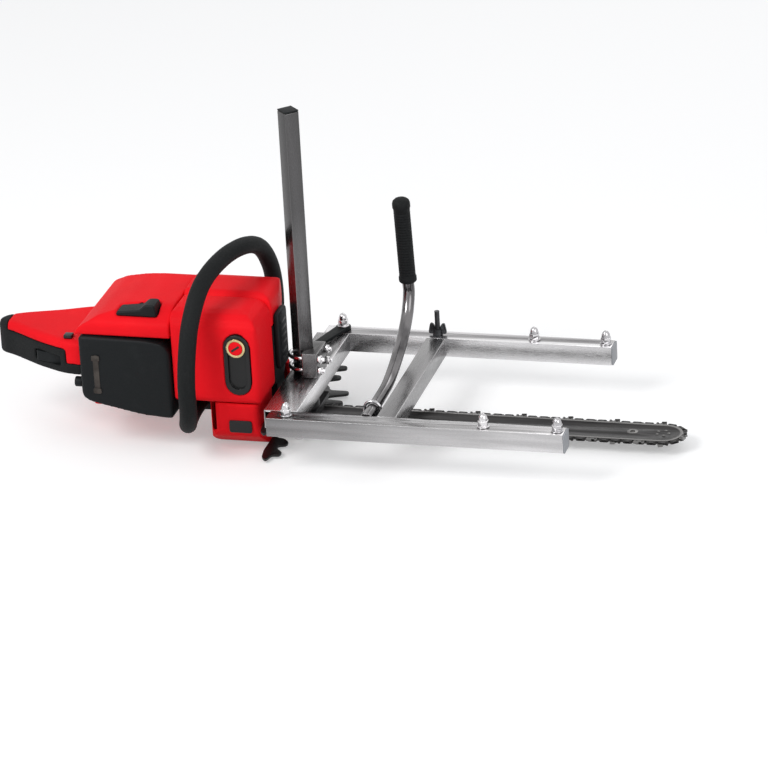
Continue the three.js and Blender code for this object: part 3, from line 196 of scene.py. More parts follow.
def ramp(tree, factor, stops):
    node = tree.nodes.new("ShaderNodeValToRGB")
    elements = node.color_ramp.elements
    elements[0].position, elements[0].color = stops[0][0], stops[0][1]
    elements[1].position, elements[1].color = stops[-1][0], stops[-1][1]
    for place, colour in stops[1:-1]:
        element = elements.new(place)
        element.color = colour
    tree.links.new(factor, node.inputs["Fac"])
    return node.outputs["Color"]


def grey(value):
    return (value, value, value, 1)


def mix(tree, factor, first, second, kind="MIX"):
    node = tree.nodes.new("ShaderNodeMix")
    node.data_type = "RGBA"
    node.blend_type = kind
    for socket, value in ((node.inputs[0], factor), (node.inputs[6], first), (node.inputs[7], second)):
        if hasattr(value, "links"):
            tree.links.new(value, socket)
        else:
            socket.default_value = value
    return node.outputs[2]


def bump(tree, shader, height, strength, distance):
    node = tree.nodes.new("ShaderNodeBump")
    node.inputs["Strength"].default_value = strength
    node.inputs["Distance"].default_value = distance
    tree.links.new(height, node.inputs["Height"])
    tree.links.new(node.outputs["Normal"], shader.inputs["Normal"])


def edge_wear(tree, low=0.53, high=0.6):
    """White along convex edges, from the mesh's own curvature."""
    geometry = tree.nodes.new("ShaderNodeNewGeometry")
    return ramp(tree, geometry.outputs["Pointiness"], [(low, grey(0)), (high, grey(1))])


print("finish helpers ready")


# %% [markdown]
# ## Bright steel
# The rails and the post are drawn square tube, plated and rolled lengthwise. The light on them breaks up
# into long soft bands, so the noise is stretched along the tube. One finish is made for each direction.

# %% Plated steel along X, Y and Z
def along(tree, place, axis, start, end, first, last):
    """A grey that changes from first to last between two places on an axis, in metres."""
    split = tree.nodes.new("ShaderNodeSeparateXYZ")
    tree.links.new(place, split.inputs[0])
    change = tree.nodes.new("ShaderNodeMapRange")
    change.inputs["From Min"].default_value = start
    change.inputs["From Max"].default_value = end
    change.inputs["To Min"].default_value = first
    change.inputs["To Max"].default_value = last
    tree.links.new(split.outputs[axis], change.inputs["Value"])
    return change.outputs["Result"]


def plated_steel(name, stretch, tint=(0.44, 0.43, 0.44), deep=0.6, change=None):
    material, tree, shader, place = finish_nodes(name, 0.95)
    bands = noise(tree, place, 9, 2, stretch)
    clouds = noise(tree, place, 6, 5)
    scratches = noise(tree, place, 170, 6, stretch, 0.7)
    light = (tint[0] * 1.3, tint[1] * 1.3, tint[2] * 1.32, 1)
    dark = (tint[0] * deep, tint[1] * deep, tint[2] * deep, 1)
    colour = ramp(tree, bands, [(0.36, dark), (0.5, (*tint, 1)), (0.64, light)])
    stain = ramp(tree, clouds, [(0.34, grey(0.66)), (0.6, grey(1))])
    colour = mix(tree, 0.7, colour, stain, "MULTIPLY")
    colour = mix(tree, edge_wear(tree), colour, (0.8, 0.79, 0.8, 1))
    if change:
        colour = mix(tree, 1.0, colour, along(tree, place, *change), "MULTIPLY")
    tree.links.new(colour, shader.inputs["Base Color"])
    rough = ramp(tree, scratches, [(0.3, grey(0.17)), (0.72, grey(0.36))])
    tree.links.new(rough, shader.inputs["Roughness"])
    bump(tree, shader, scratches, 0.1, 0.0003)
    return material


long_x, long_y, long_z = (0.3, 5, 5), (5, 0.3, 5), (5, 5, 0.3)
darker_left = ("X", -0.2, 0.2, 0.36, 1.15)
darker_top = ("Z", 0.02, 0.3, 0.8, 0.3)
# All five are the same plated steel. The copies for the tubes along Y, the parts along Z and the post are
# tinted far darker than the rails: painted shade.
steel_x = plated_steel("plated_steel_x", long_x)
steel_near = plated_steel("plated_steel_near_rail", long_x, (0.47, 0.46, 0.465), 0.6, darker_left)
steel_y_painted_shade = plated_steel("plated_steel_y", long_y, (0.085, 0.082, 0.083), 0.45)
steel_z_painted_shade = plated_steel("plated_steel_z", long_z, (0.16, 0.152, 0.155), 0.45)
steel_post_painted_shade = plated_steel("plated_steel_post", long_z, (0.14, 0.134, 0.136), 0.4, darker_top)
print("plated steel in three directions")


# %% [markdown]
# ## Chrome, dark steel, bar steel and alloy
# The bolts and the bent handle are chromed. The bar is ground along its length, and it shows darker heat
# tints and rub marks. The chain is oily. The cylinder and flywheel are cast.

# %% Other metals
def simple_metal(name, colour, dark, rough, stretch=(1, 1, 1), scale=30, strength=0.08, metallic=1.0):
    material, tree, shader, place = finish_nodes(name, metallic)
    broad = noise(tree, place, scale, 5, stretch)
    fine = noise(tree, place, scale * 12, 6, stretch, 0.65)
    tone = ramp(tree, broad, [(0.34, (*dark, 1)), (0.6, (*colour, 1))])
    rubbed = [min(1, part * 1.4) for part in colour]
    tone = mix(tree, edge_wear(tree), tone, (*rubbed, 1))
    tree.links.new(tone, shader.inputs["Base Color"])
    gloss = ramp(tree, fine, [(0.3, grey(rough[0])), (0.7, grey(rough[1]))])
    tree.links.new(gloss, shader.inputs["Roughness"])
    bump(tree, shader, fine, strength, 0.0005)
    return material


chrome = simple_metal("chrome_plate", (0.66, 0.65, 0.66), (0.36, 0.355, 0.37), (0.08, 0.2), scale=18,
                      strength=0.03)
# The handle's chrome is the nuts' chrome tinted about three times darker: painted shade.
tube_chrome_painted_shade = simple_metal("chromed_tube", (0.21, 0.203, 0.207), (0.09, 0.087, 0.09), (0.12, 0.26),
                           stretch=(3, 1, 0.4), scale=26, strength=0.03)
dark_steel = simple_metal("blackened_steel", (0.07, 0.072, 0.076), (0.025, 0.025, 0.027), (0.28, 0.5))
bar_steel = simple_metal("bar_steel", (0.052, 0.05, 0.05), (0.024, 0.023, 0.024), (0.26, 0.46),
                         stretch=long_x, scale=22, strength=0.1)
bar_edge_steel = simple_metal("ground_bar_edge", (0.17, 0.166, 0.163), (0.08, 0.078, 0.077), (0.2, 0.4),
                              stretch=long_x, scale=30, strength=0.08)
chain_steel = simple_metal("oiled_chain_steel", (0.035, 0.034, 0.034), (0.012, 0.012, 0.012), (0.3, 0.55),
                           scale=60)
cutter_steel = simple_metal("chromed_cutter", (0.12, 0.118, 0.116), (0.05, 0.049, 0.048), (0.2, 0.4),
                            scale=90)
cast_alloy = simple_metal("cast_alloy", (0.3, 0.3, 0.31), (0.16, 0.16, 0.165), (0.42, 0.68), scale=70,
                          strength=0.35, metallic=0.85)
screw_steel = simple_metal("blackened_screw", (0.12, 0.12, 0.125), (0.05, 0.05, 0.052), (0.3, 0.5), scale=80)
clip_steel = simple_metal("spring_clip", (0.075, 0.066, 0.06), (0.03, 0.027, 0.025), (0.35, 0.55), scale=40)
brass = simple_metal("brass_ring", (0.68, 0.56, 0.3), (0.42, 0.33, 0.16), (0.2, 0.42), scale=50)
print("metals made")


# %% [markdown]
# ## Plastics and rubber
# The covers are smooth red plastic with a faint orange peel, dust in broad patches and paler rubbed edges.
# The black parts have a fine moulded grain, and the grips are matt rubber. One function makes them all,
# because they differ only in colour, grain and gloss.

# %% Plastics
def plastic(name, colour, dusty, rough, grain, grain_strength, wear=0.3, sheen=0.5):
    material, tree, shader, place = finish_nodes(name, 0.0)
    shader.inputs["Specular IOR Level"].default_value = sheen
    broad = noise(tree, place, 7, 6)
    fine = noise(tree, place, grain, 3)
    specks = noise(tree, place, 420, 2)
    base = ramp(tree, broad, [(0.3, (*[c * 0.86 for c in colour], 1)), (0.6, (*colour, 1))])
    dust = ramp(tree, noise(tree, place, 16, 8, roughness=0.7), [(0.55, grey(0)), (0.82, grey(0.35))])
    base = mix(tree, dust, base, (*dusty, 1))
    edge = mix(tree, edge_wear(tree, 0.535, 0.63), grey(0), grey(wear))
    base = mix(tree, edge, base, (*dusty, 1))
    tree.links.new(base, shader.inputs["Base Color"])
    gloss = ramp(tree, specks, [(0.25, grey(rough[0])), (0.75, grey(rough[1]))])
    tree.links.new(gloss, shader.inputs["Roughness"])
    bump(tree, shader, fine, grain_strength, 0.0004)
    return material


red_cover = plastic("red_cover", (0.86, 0.011, 0.018), (0.9, 0.03, 0.03), (0.4, 0.56), 240, 0.035, 0.25, 0.03)
black_cover = plastic("black_cover", (0.004, 0.0055, 0.0065), (0.022, 0.023, 0.025), (0.5, 0.66), 800, 0.2,
                      0.4, 0.2)
# This black is glossy plastic, and on the valve knob it is the painted shade of the coin slot.
black_gloss_and_shade = plastic("black_gloss_and_shade", (0.004, 0.0045, 0.005), (0.025, 0.025, 0.026), (0.3, 0.42), 300, 0.08,
                      0.4, 0.35)
grip_rubber = plastic("grip_rubber", (0.005, 0.006, 0.0065), (0.02, 0.02, 0.021), (0.6, 0.8), 700, 0.35,
                      0.3, 0.2)
# On the jaws this black is painted shade; elsewhere it is black paint.
black_paint = plastic("black_paint", (0.006, 0.006, 0.0065), (0.07, 0.07, 0.072), (0.34, 0.5), 380, 0.16,
                      0.8, 0.35)
grey_plastic = plastic("grey_plastic", (0.3, 0.31, 0.33), (0.42, 0.42, 0.43), (0.4, 0.6), 500, 0.15)
print("plastics made")

# %% [markdown]
# ## Solids that stay
# The pieces inside the saw, its case and the valve's well already have the right shape. A live weld joins
# their triangles and a live bevel takes the knife edge off, as casting and tumbling do on the real ones.

# %% Dress the solids that stay
def dress(node, material, width):
    obj = nodes[node]
    obj.data.materials.clear()
    obj.data.materials.append(material)
    weld = obj.modifiers.new("weld", "WELD")
    weld.merge_threshold = 0.00002
    bevel = obj.modifiers.new("soft_edge", "BEVEL")
    bevel.width = width
    bevel.segments = 1
    bevel.limit_method = "ANGLE"
    bevel.angle_limit = math.radians(40)
    bevel.harden_normals = False
    bevel.use_clamp_overlap = True
    for polygon in obj.data.polygons:
        polygon.use_smooth = False


inner_finishes = {
    "crankshaft": steel_z_painted_shade, "flywheel": cast_alloy, "clutch_drum": dark_steel, "cylinder": cast_alloy,
    "spark_plug": chrome, "bar_nut_front": steel_z_painted_shade, "bar_nut_rear": steel_z_painted_shade, "nose_sprocket": dark_steel,
    "crankcase": black_cover, "valve_well": black_gloss_and_shade,
}
for name, material in inner_finishes.items():
    dress(name, material, 0.4 * MM)
print("inner solids dressed")


# %% [markdown]
# ## The frame's tubes and plates
# Drawn tubes, jaws, spikes and levers have small rounded corners. A copy of each solid is bevelled by about
# a millimetre in three or four steps, which keeps its size and gives each rail its bright corner line.

# %% Rails, channel and cross tube
corner_angle, shade_angle = 30, 40


def soft_copy(node, name, body, material, width, segments=3):
    obj = from_solid(node)
    modify(obj, "BEVEL", width=width, segments=segments, limit_method="ANGLE",
           angle_limit=math.radians(corner_angle), use_clamp_overlap=True, miter_outer="MITER_ARC")
    return hand_over(obj, name, body, material, (node,), shade_angle)


soft_copy("near_rail", "near_rail_tube", "frame", steel_near, 1.1 * MM)
soft_copy("far_rail", "far_rail_tube", "frame", steel_x, 1.1 * MM)
soft_copy("left_cross_channel", "left_channel", "frame", steel_y_painted_shade, 1.1 * MM)
soft_copy("inner_cross_tube", "inner_tube", "frame", steel_y_painted_shade, 1.1 * MM)
soft_copy("height_post", "post_tube", "saw", steel_post_painted_shade, 1.1 * MM)
soft_copy("post_cap", "post_top", "saw", black_cover, 0.8 * MM)
soft_copy("near_rail_cap", "near_rail_plug", "frame", grey_plastic, 0.7 * MM)
soft_copy("far_rail_cap", "far_rail_plug", "frame", grey_plastic, 0.7 * MM)
soft_copy("post_saddle", "saddle_block", "frame", steel_y_painted_shade, 1.0 * MM)
# The jaws are black as painted shade under the channel.
soft_copy("upper_jaw", "jaw_above", "saw", black_paint, 0.8 * MM)
soft_copy("lower_jaw", "jaw_below", "saw", black_paint, 0.8 * MM)
soft_copy("handle_bracket", "bracket_plate", "frame", dark_steel, 0.6 * MM)
soft_copy("lock_lever", "corner_lever", "lock_lever", black_cover, 1.2 * MM, 4)
soft_copy("wing_screw", "thumb_screw", "wing_screw", dark_steel, 0.7 * MM, 3)
soft_copy("inner_spike", "spike_above", "saw", black_paint, 0.8 * MM)
soft_copy("outer_spike", "spike_below", "saw", black_paint, 0.8 * MM)
print("frame dressed")

# %% [markdown]
# ## Dome nuts
# Six bolts hold the frame together. Each ends in a chromed nut with a washer, a hexagon and a high dome.
# One nut is modelled and copied to each place that the solids give.

# %% One dome nut, six times
def add_round(radius, depth, place, sides=48, axis="Z"):
    """A cylinder that starts at place and runs along its axis."""
    turns = {"Z": (0, 0, 0), "X": (0, math.pi / 2, 0)}
    ways = {"Z": Vector((0, 0, 1)), "X": Vector((1, 0, 0))}
    bpy.ops.object.select_all(action="DESELECT")
    bpy.ops.mesh.primitive_cylinder_add(
        vertices=sides, radius=radius, depth=depth, location=Vector(place) + ways[axis] * depth / 2,
        rotation=turns[axis],
    )
    return bake_place(bpy.context.object)


def round_edges(obj, width, segments=3):
    return modify(obj, "BEVEL", width=width, segments=segments, limit_method="ANGLE",
                  angle_limit=math.radians(40))


washer_radius, washer_depth = 9.4, 2
hexagon_radius, hexagon_depth = 8.5, 9
dome_radius, dome_stretch, dome_seat = 7, 1.55, 11
stem_radius, stem_length, stem_start = 3.9, 14, -13.8
nut_height = 22


def dome_nut():
    washer = round_edges(add_round(washer_radius * MM, washer_depth * MM, (0, 0, 0)), 0.5 * MM)
    hexagon = add_round(hexagon_radius * MM, hexagon_depth * MM, (0, 0, washer_depth * MM), 6)
    round_edges(hexagon, 0.7 * MM)
    bpy.ops.object.select_all(action="DESELECT")
    bpy.ops.mesh.primitive_uv_sphere_add(segments=40, ring_count=20, radius=dome_radius * MM)
    dome = bpy.context.object
    dome.scale = (1, 1, dome_stretch)
    dome.location = (0, 0, dome_seat * MM)
    bake_place(dome)
    only(dome)
    bpy.ops.object.mode_set(mode="EDIT")
    bpy.ops.mesh.select_all(action="SELECT")
    cut = (0, 0, (dome_seat - 0.5) * MM)
    bpy.ops.mesh.bisect(plane_co=cut, plane_no=(0, 0, 1), use_fill=True, clear_inner=True)
    bpy.ops.object.mode_set(mode="OBJECT")
    stem = add_round(stem_radius * MM, stem_length * MM, (0, 0, stem_start * MM), 24)
    return join([washer, hexagon, dome, stem])


pattern_nut = dome_nut()
for node in ("near_bolt_left", "near_bolt_middle", "near_bolt_right", "far_bolt_left", "far_bolt_middle",
             "far_bolt_right"):
    low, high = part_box(node)
    nut = twin(pattern_nut)
    nut.location = ((low.x + high.x) / 2, (low.y + high.y) / 2, high.z - nut_height * MM)
    hand_over(nut, node + "_nut", "frame", chrome, (node,))
bpy.data.objects.remove(pattern_nut)
print("six dome nuts")

# %% [markdown]
# ## Bent rods and tubes
# The push handle, the front handle and the U-bolts are bent from rod or tube. A smooth curve through the
# same points as the solid's, given a round section, follows each solid exactly and has no flats.

# %% A smooth curve through points
def smooth_path(points, steps):
    """A centripetal Catmull-Rom curve, sampled evenly in its own parameter."""
    spots = [Vector(point) * MM for point in points]
    spots = [spots[0] * 2 - spots[1]] + spots + [spots[-1] * 2 - spots[-2]]
    path = []
    for i in range(1, len(spots) - 2):
        before, start, end, after = spots[i - 1:i + 3]
        first, second, third = (
            max((b - a).length ** 0.5, 1e-4) for a, b in ((before, start), (start, end), (end, after))
        )
        leave = (start - before) / first - (end - before) / (first + second) + (end - start) / second
        arrive = (end - start) / second - (after - start) / (second + third) + (after - end) / third
        leave, arrive = leave * second, arrive * second
        for k in range(steps):
            t = k / steps
            path.append(
                start * (2 * t ** 3 - 3 * t ** 2 + 1) + leave * (t ** 3 - 2 * t ** 2 + t)
                + end * (-2 * t ** 3 + 3 * t ** 2) + arrive * (t ** 3 - t ** 2)
            )
    path.append(spots[-2])
    return path


def tube(path, radius, sides=28):
    """A closed round bar along a path."""
    curve = bpy.data.curves.new("bar", "CURVE")
    curve.dimensions = "3D"
    curve.bevel_depth = radius
    curve.bevel_resolution = sides // 4
    curve.use_fill_caps = True
    spline = curve.splines.new("POLY")
    spline.points.add(len(path) - 1)
    for point, place in zip(spline.points, path):
        point.co = (*place, 1)
    obj = bpy.data.objects.new("bar", curve)
    scene.collection.objects.link(obj)
    only(obj)
    bpy.ops.object.convert(target="MESH")
    obj = bpy.context.object
    bpy.ops.object.mode_set(mode="EDIT")
    bpy.ops.mesh.select_all(action="SELECT")
    bpy.ops.mesh.remove_doubles(threshold=MERGE)
    bpy.ops.mesh.normals_make_consistent(inside=False)
    bpy.ops.object.mode_set(mode="OBJECT")
    return obj


print("curve helpers ready")

# %% [markdown]
# ## The push handle
# A chromed tube lies along the inner cross tube, rises in one sweep and ends in a black grip. The grip has
# a collar at each end and shallow rings, so it is turned from a profile with the spin operator.

# %% Push handle tube and grip
handle_x, handle_z, handle_radius = -32.5, 22.9, 9.3
end_y, bend_y = -150, -56
foot_y, foot_z = 128.0, 132.0
grip_lean = math.atan2(17.0, 144.0)
grip_start = 4.65


def up_the_grip(distance):
    return (handle_x, foot_y - distance * math.sin(grip_lean), foot_z + distance * math.cos(grip_lean))


rising_shares = [(0.2, 0.02), (0.46, 0.14), (0.72, 0.33), (0.92, 0.58)]
handle_points = [(handle_x, y, handle_z) for y in (end_y, (end_y + bend_y) / 2, bend_y)]
for across, up in rising_shares:
    handle_points.append((handle_x, bend_y + across * (foot_y - bend_y), handle_z + up * (foot_z - handle_z)))
handle_points += [up_the_grip(distance) for distance in (-15, 0, 55, 110)]
handle_tube = tube(smooth_path(handle_points, 12), handle_radius * MM)
hand_over(handle_tube, "push_handle_bar", "push_handle", tube_chrome_painted_shade, ("push_handle_tube",), 50)


def spun(profile, steps):
    """A closed turned form from (radius, height) pairs, in millimetres."""
    mesh = bpy.data.meshes.new("turned")
    mesh.from_pydata([(r * MM, 0, h * MM) for r, h in profile],
                     [(i, i + 1) for i in range(len(profile) - 1)], [])
    obj = bpy.data.objects.new("turned", mesh)
    scene.collection.objects.link(obj)
    only(obj)
    bpy.ops.object.mode_set(mode="EDIT")
    bpy.ops.mesh.select_all(action="SELECT")
    bpy.ops.mesh.spin(steps=steps, angle=2 * math.pi, center=(0, 0, 0), axis=(0, 0, 1))
    bpy.ops.mesh.select_all(action="SELECT")
    bpy.ops.mesh.remove_doubles(threshold=MERGE)
    bpy.ops.mesh.normals_make_consistent(inside=False)
    bpy.ops.object.mode_set(mode="OBJECT")
    return obj


ring_count, ring_start, ring_step = 24, 12, 4.7
grip_profile = [(9.9, 0), (13.2, 0), (14, 1), (14, 7), (13.2, 8.5), (12.9, 9)]
for i in range(ring_count):
    height = ring_start + i * ring_step
    grip_profile += [(12.9, height), (12.3, height + 0.8), (12.3, height + 1.8), (12.9, height + 2.6)]
grip_profile += [(12.9, 127), (14, 129), (14, 136), (13, 139.5), (10.5, 142), (6, 143.6), (0.001, 144)]
grip = spun(grip_profile, 40)
grip.rotation_euler = (grip_lean, 0, 0)
grip.location = Vector(up_the_grip(grip_start)) * MM
hand_over(grip, "push_handle_sleeve", "push_handle", grip_rubber, ("push_handle_grip",), 50)
print("push handle made")


# %% [markdown]
# ## U-bolts
# Two U-bolts hold the saddle against the post and one holds the push handle. Each is a bent rod whose legs
# carry nuts. The saddle's have a fine thread on the ends, laid as small rings, which look the same as a
# true thread at this size and keep the mesh simple. The clamp's two bolts are made from the same nuts.

# %% U-bolts with threads and nuts
def half_ring(middle_at, radius):
    count = 12
    ring = []
    for i in range(count + 1):
        angle = math.pi / 2 + math.pi * i / count
        ring.append((middle_at + radius * math.cos(angle), radius * math.sin(angle)))
    return ring


def threads(start, length, radius, pitch):
    """Small rings that stand for a thread, from start along X."""
    places = [Vector(start) + Vector((1, 0, 0)) * (i * pitch * MM) for i in range(int(length / pitch))]
    return [add_round(radius * MM, 0.55 * MM, place, 20, "X") for place in places]


def hex_nut(place, radius, depth, axis):
    return round_edges(add_round(radius * MM, depth * MM, place, 6, axis), 0.6 * MM, 2)


saddle_leg, saddle_rod, saddle_nut, saddle_nut_depth, nut_gap = 21, 3.25, 6.5, 6, 0.3
thread_radius, thread_length, thread_pitch = 3.32, 3, 0.9
arch_y, arch_leg, arch_rod, arch_nut = -111, 12.6, 2.5, 4.6
arch_nut_depth = 6
clamp_rod, clamp_nut, clamp_nut_depth = 4, 7.5, 5.5

for node, name in (("post_u_bolt_lower", "lower_u_bolt"), ("post_u_bolt_upper", "upper_u_bolt")):
    low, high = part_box(node)
    z = (low.z + high.z) / 2 / MM
    leg_end = high.x / MM
    ring_middle = low.x / MM + saddle_rod + saddle_leg
    half_way = (leg_end + ring_middle) / 2
    points = [(leg_end, saddle_leg, z), (half_way, saddle_leg, z)]
    points += [(x, y, z) for x, y in half_ring(ring_middle, saddle_leg)]
    points += [(half_way, -saddle_leg, z), (leg_end, -saddle_leg, z)]
    pieces = [tube(smooth_path(points, 4), saddle_rod * MM, 20)]
    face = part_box("post_saddle")[1].x / MM
    for y in (-saddle_leg, saddle_leg):
        pieces.append(hex_nut(((face + nut_gap) * MM, y * MM, z * MM), saddle_nut, saddle_nut_depth, "X"))
        thread_start = ((face + 2 * nut_gap + saddle_nut_depth) * MM, y * MM, z * MM)
        pieces += threads(thread_start, thread_length, thread_radius, thread_pitch)
    hand_over(join(pieces), name, "frame", chrome, (node,), 40)

leg_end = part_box("handle_u_bolt")[0].z / MM
near_x, far_x, half_way = handle_x + arch_leg, handle_x - arch_leg, (leg_end + handle_z) / 2
points = [(near_x, arch_y, leg_end), (near_x, arch_y, half_way)]
points += [(handle_x + side, arch_y, handle_z - back) for back, side in half_ring(0, arch_leg)]
points += [(far_x, arch_y, half_way), (far_x, arch_y, leg_end)]
pieces = [tube(smooth_path(points, 4), arch_rod * MM, 20)]
for x in (far_x, near_x):
    pieces.append(hex_nut((x * MM, arch_y * MM, leg_end * MM), arch_nut, arch_nut_depth, "Z"))
hand_over(join(pieces), "handle_clamp", "frame", chrome, ("handle_u_bolt",), 40)

for node in ("clamp_bolt_near", "clamp_bolt_far"):
    low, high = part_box(node)
    spot = (low + high) / 2
    rod_length = high.z - low.z - 0.2 * MM
    pieces = [
        hex_nut((spot.x, spot.y, low.z), clamp_nut, clamp_nut_depth, "Z"),
        add_round(clamp_rod * MM, rod_length, (spot.x, spot.y, low.z + 0.1 * MM), 28),
        hex_nut((spot.x, spot.y, high.z - (clamp_nut_depth + nut_gap) * MM), clamp_nut, clamp_nut_depth, "Z"),
    ]
    hand_over(join(pieces), node + "_steel", "saw", chrome, (node,), 40)
print("rods bent")

# %% [markdown]
# ## The front handle
# The front handle is one thick tube with a rubber sleeve. It starts under the saw, sweeps up round the near
# side, over the top, and down to the base.

# %% Front handle
way_shares = [
    (0.136, 0.223, -0.047), (0.164, 0.019, -0.047), (0.236, -0.165, 0.012), (0.3, -0.272, 0.174),
    (0.314, -0.301, 0.465), (0.321, -0.252, 0.727), (0.343, -0.155, 1), (0.393, 0.068, 1.244),
    (0.507, 0.35, 1.355), (0.636, 0.621, 1.355), (0.707, 0.864, 1.233), (0.736, 1.039, 0.988),
    (0.736, 1.117, 0.756), (0.736, 1.117, 0.558), (0.736, 1.087, 0.488),
]
saw_left, saw_long, saw_near, saw_wide, saw_high = -345, 140, -126, 206, 172
sleeve_radius = 13.6
front_points = [(-326.2, -40.3, -8)]
for share_x, share_y, share_z in way_shares:
    front_points.append((saw_left + share_x * saw_long, saw_near + share_y * saw_wide, share_z * saw_high))
front_path = smooth_path(front_points, 12)
sleeve = tube(front_path, sleeve_radius * MM, 32)
hand_over(sleeve, "front_handle_sleeve", "saw", grip_rubber, ("front_handle",), 50)
print("front handle length", round(sum((b - a).length for a, b in zip(front_path, front_path[1:])), 3))


# %% [markdown]
# ## The saw's covers
# Moulded covers have no sharp edges at all. A copy of each solid is remeshed into small even faces and
# then relaxed, which rounds every edge by a few millimetres, as a mould does. The caps, knobs and switches
# are smaller and crisper, so their copies are bevelled instead.

# %% Moulded covers
def moulded(node, name, body, material, voxel=2.2 * MM, relax=7):
    obj = from_solid(node)
    modify(obj, "REMESH", mode="VOXEL", voxel_size=voxel, use_smooth_shade=True)
    modify(obj, "SMOOTH", factor=0.5, iterations=relax)
    return hand_over(obj, name, body, material, (node,), 60)


moulded("cylinder_cover", "front_cover", "saw", red_cover)
moulded("starter_cover", "starter_housing", "saw", red_cover)
moulded("rear_body", "tank_and_handle", "saw", red_cover)
moulded("clutch_cover", "clutch_housing", "saw", red_cover, 1.8 * MM, 6)
moulded("air_filter_cover", "filter_lid", "saw", black_cover)
moulded("rear_grip", "handle_grip_half", "saw", grip_rubber, 1.8 * MM, 5)
soft_copy("muffler", "muffler_plate", "saw", black_cover, 1.5 * MM, 4)
soft_copy("recoil_grip", "starter_pull", "recoil_grip", black_cover, 1.6 * MM, 4)
soft_copy("cover_plate", "clutch_window", "saw", black_gloss_and_shade, 0.6 * MM)
soft_copy("valve_ring", "valve_collar", "saw", brass, 0.7 * MM, 3)
soft_copy("valve_button", "valve_knob", "valve_button", red_cover, 0.9 * MM, 3)
soft_copy("choke_knob", "choke_button", "choke_knob", black_cover, 1.0 * MM, 3)
soft_copy("stop_switch", "stop_lever", "stop_switch", black_gloss_and_shade, 1.0 * MM, 3)
soft_copy("throttle_trigger", "trigger", "throttle_trigger", black_cover, 1.2 * MM, 3)
soft_copy("throttle_lockout", "trigger_lock", "throttle_lockout", black_cover, 1.0 * MM, 3)
soft_copy("fuel_cap", "fuel_filler_cap", "fuel_cap", black_cover, 0.9 * MM, 3)
soft_copy("oil_cap", "oil_filler_cap", "oil_cap", black_cover, 0.9 * MM, 3)
print("covers moulded")

# %% [markdown]
# ## Flat plates
# Chain links, clips and latches are stamped from sheet. Such a plate starts as an outline, which the
# extrude operator gives its thickness. Outlines are written in millimetres, in X and Y, and lie on Z.

# %% A stamped plate
def plate(outline, low, high):
    mesh = bpy.data.meshes.new("plate")
    mesh.from_pydata([(x * MM, y * MM, low * MM) for x, y in outline], [], [list(range(len(outline)))])
    obj = bpy.data.objects.new("plate", mesh)
    scene.collection.objects.link(obj)
    only(obj)
    bpy.ops.object.mode_set(mode="EDIT")
    bpy.ops.mesh.select_all(action="SELECT")
    bpy.ops.mesh.extrude_region_move(TRANSFORM_OT_translate={"value": (0, 0, (high - low) * MM)})
    bpy.ops.mesh.select_all(action="SELECT")
    bpy.ops.mesh.normals_make_consistent(inside=False)
    bpy.ops.object.mode_set(mode="OBJECT")
    return obj


def oval(length, width):
    """The outline of a link: two half circles, joined."""
    points, steps = [], 4
    for side in (1, -1):
        for i in range(steps + 1):
            angle = -math.pi / 2 + math.pi * i / steps
            points.append((side * (length / 2 - width / 2 + width / 2 * math.cos(angle)),
                           side * width / 2 * math.sin(angle)))
    return points


print("plate helpers ready")

# %% [markdown]
# ## Clips and slots
# The filter lid is held by a long stamped spring clip with a wider foot at each end. A thin black plate on
# the valve knob stands for its coin slot's shade: painted shade. Both lie on faces, so each is a plate stood
# upright.

# %% Filter clip and valve slot
def stand_up(obj, face_y, x, z):
    """Turns a plate that lies on Z so that it stands on a near face, with its own X along the saw."""
    obj.rotation_euler = (math.pi / 2, 0, 0)
    obj.location = (x * MM, face_y * MM, z * MM)
    return bake_place(obj)


def strip_outline(width, height, corner):
    points = []
    for side_x, side_y, first in ((1, -1, -90), (1, 1, 0), (-1, 1, 90), (-1, -1, 180)):
        for step in range(5):
            angle = math.radians(first + 22.5 * step)
            points.append((side_x * (width / 2 - corner) + corner * math.cos(angle),
                           side_y * (height / 2 - corner) + corner * math.sin(angle)))
    return points


lid_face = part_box("air_filter_cover")[0].y / MM
clip_x, clip_z, clip_sunk, foot_rise = -464.0, 62.0, 0.6, 27
spring, spring_foot = (9, 64, 3, 1.4, 0.4), (13, 9, 2.5, 2.4, 0.5)
clip_parts = []
for form, rise in ((spring, 0), (spring_foot, foot_rise), (spring_foot, -foot_rise)):
    width, height, corner, thick, edge = form
    flat = round_edges(plate(strip_outline(width, height, corner), 0, thick), edge * MM, 2)
    clip_parts.append(stand_up(flat, lid_face + clip_sunk, clip_x, clip_z + rise))
hand_over(join(clip_parts), "filter_clip", "saw", clip_steel)

low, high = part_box("valve_button")
valve_x, valve_z = (low.x + high.x) / 2 / MM, (low.z + high.z) / 2 / MM
slot_length, slot_width, slot_corner, slot_turn = 15, 3.4, 1, 35
# A thin black plate on the knob stands for the coin slot's shade: painted shade.
slot_shade_plate = plate(strip_outline(slot_length, slot_width, slot_corner), -0.4, 0.35)
slot_shade_plate.rotation_euler = (0, 0, math.radians(slot_turn))
bake_place(slot_shade_plate)
slot_shade_plate = stand_up(slot_shade_plate, low.y / MM, valve_x, valve_z)
hand_over(slot_shade_plate, "valve_slot_shade", "valve_button", black_gloss_and_shade)
print("clip on", round(lid_face, 1), "valve at", round(valve_x, 1), round(valve_z, 1))

# %% [markdown]
# ## Cover screws
# The covers are screwed to the case from the base, which the photograph doesn't show. One pan head with a
# round socket is turned from its profile and copied, because all the screws of a saw are alike.

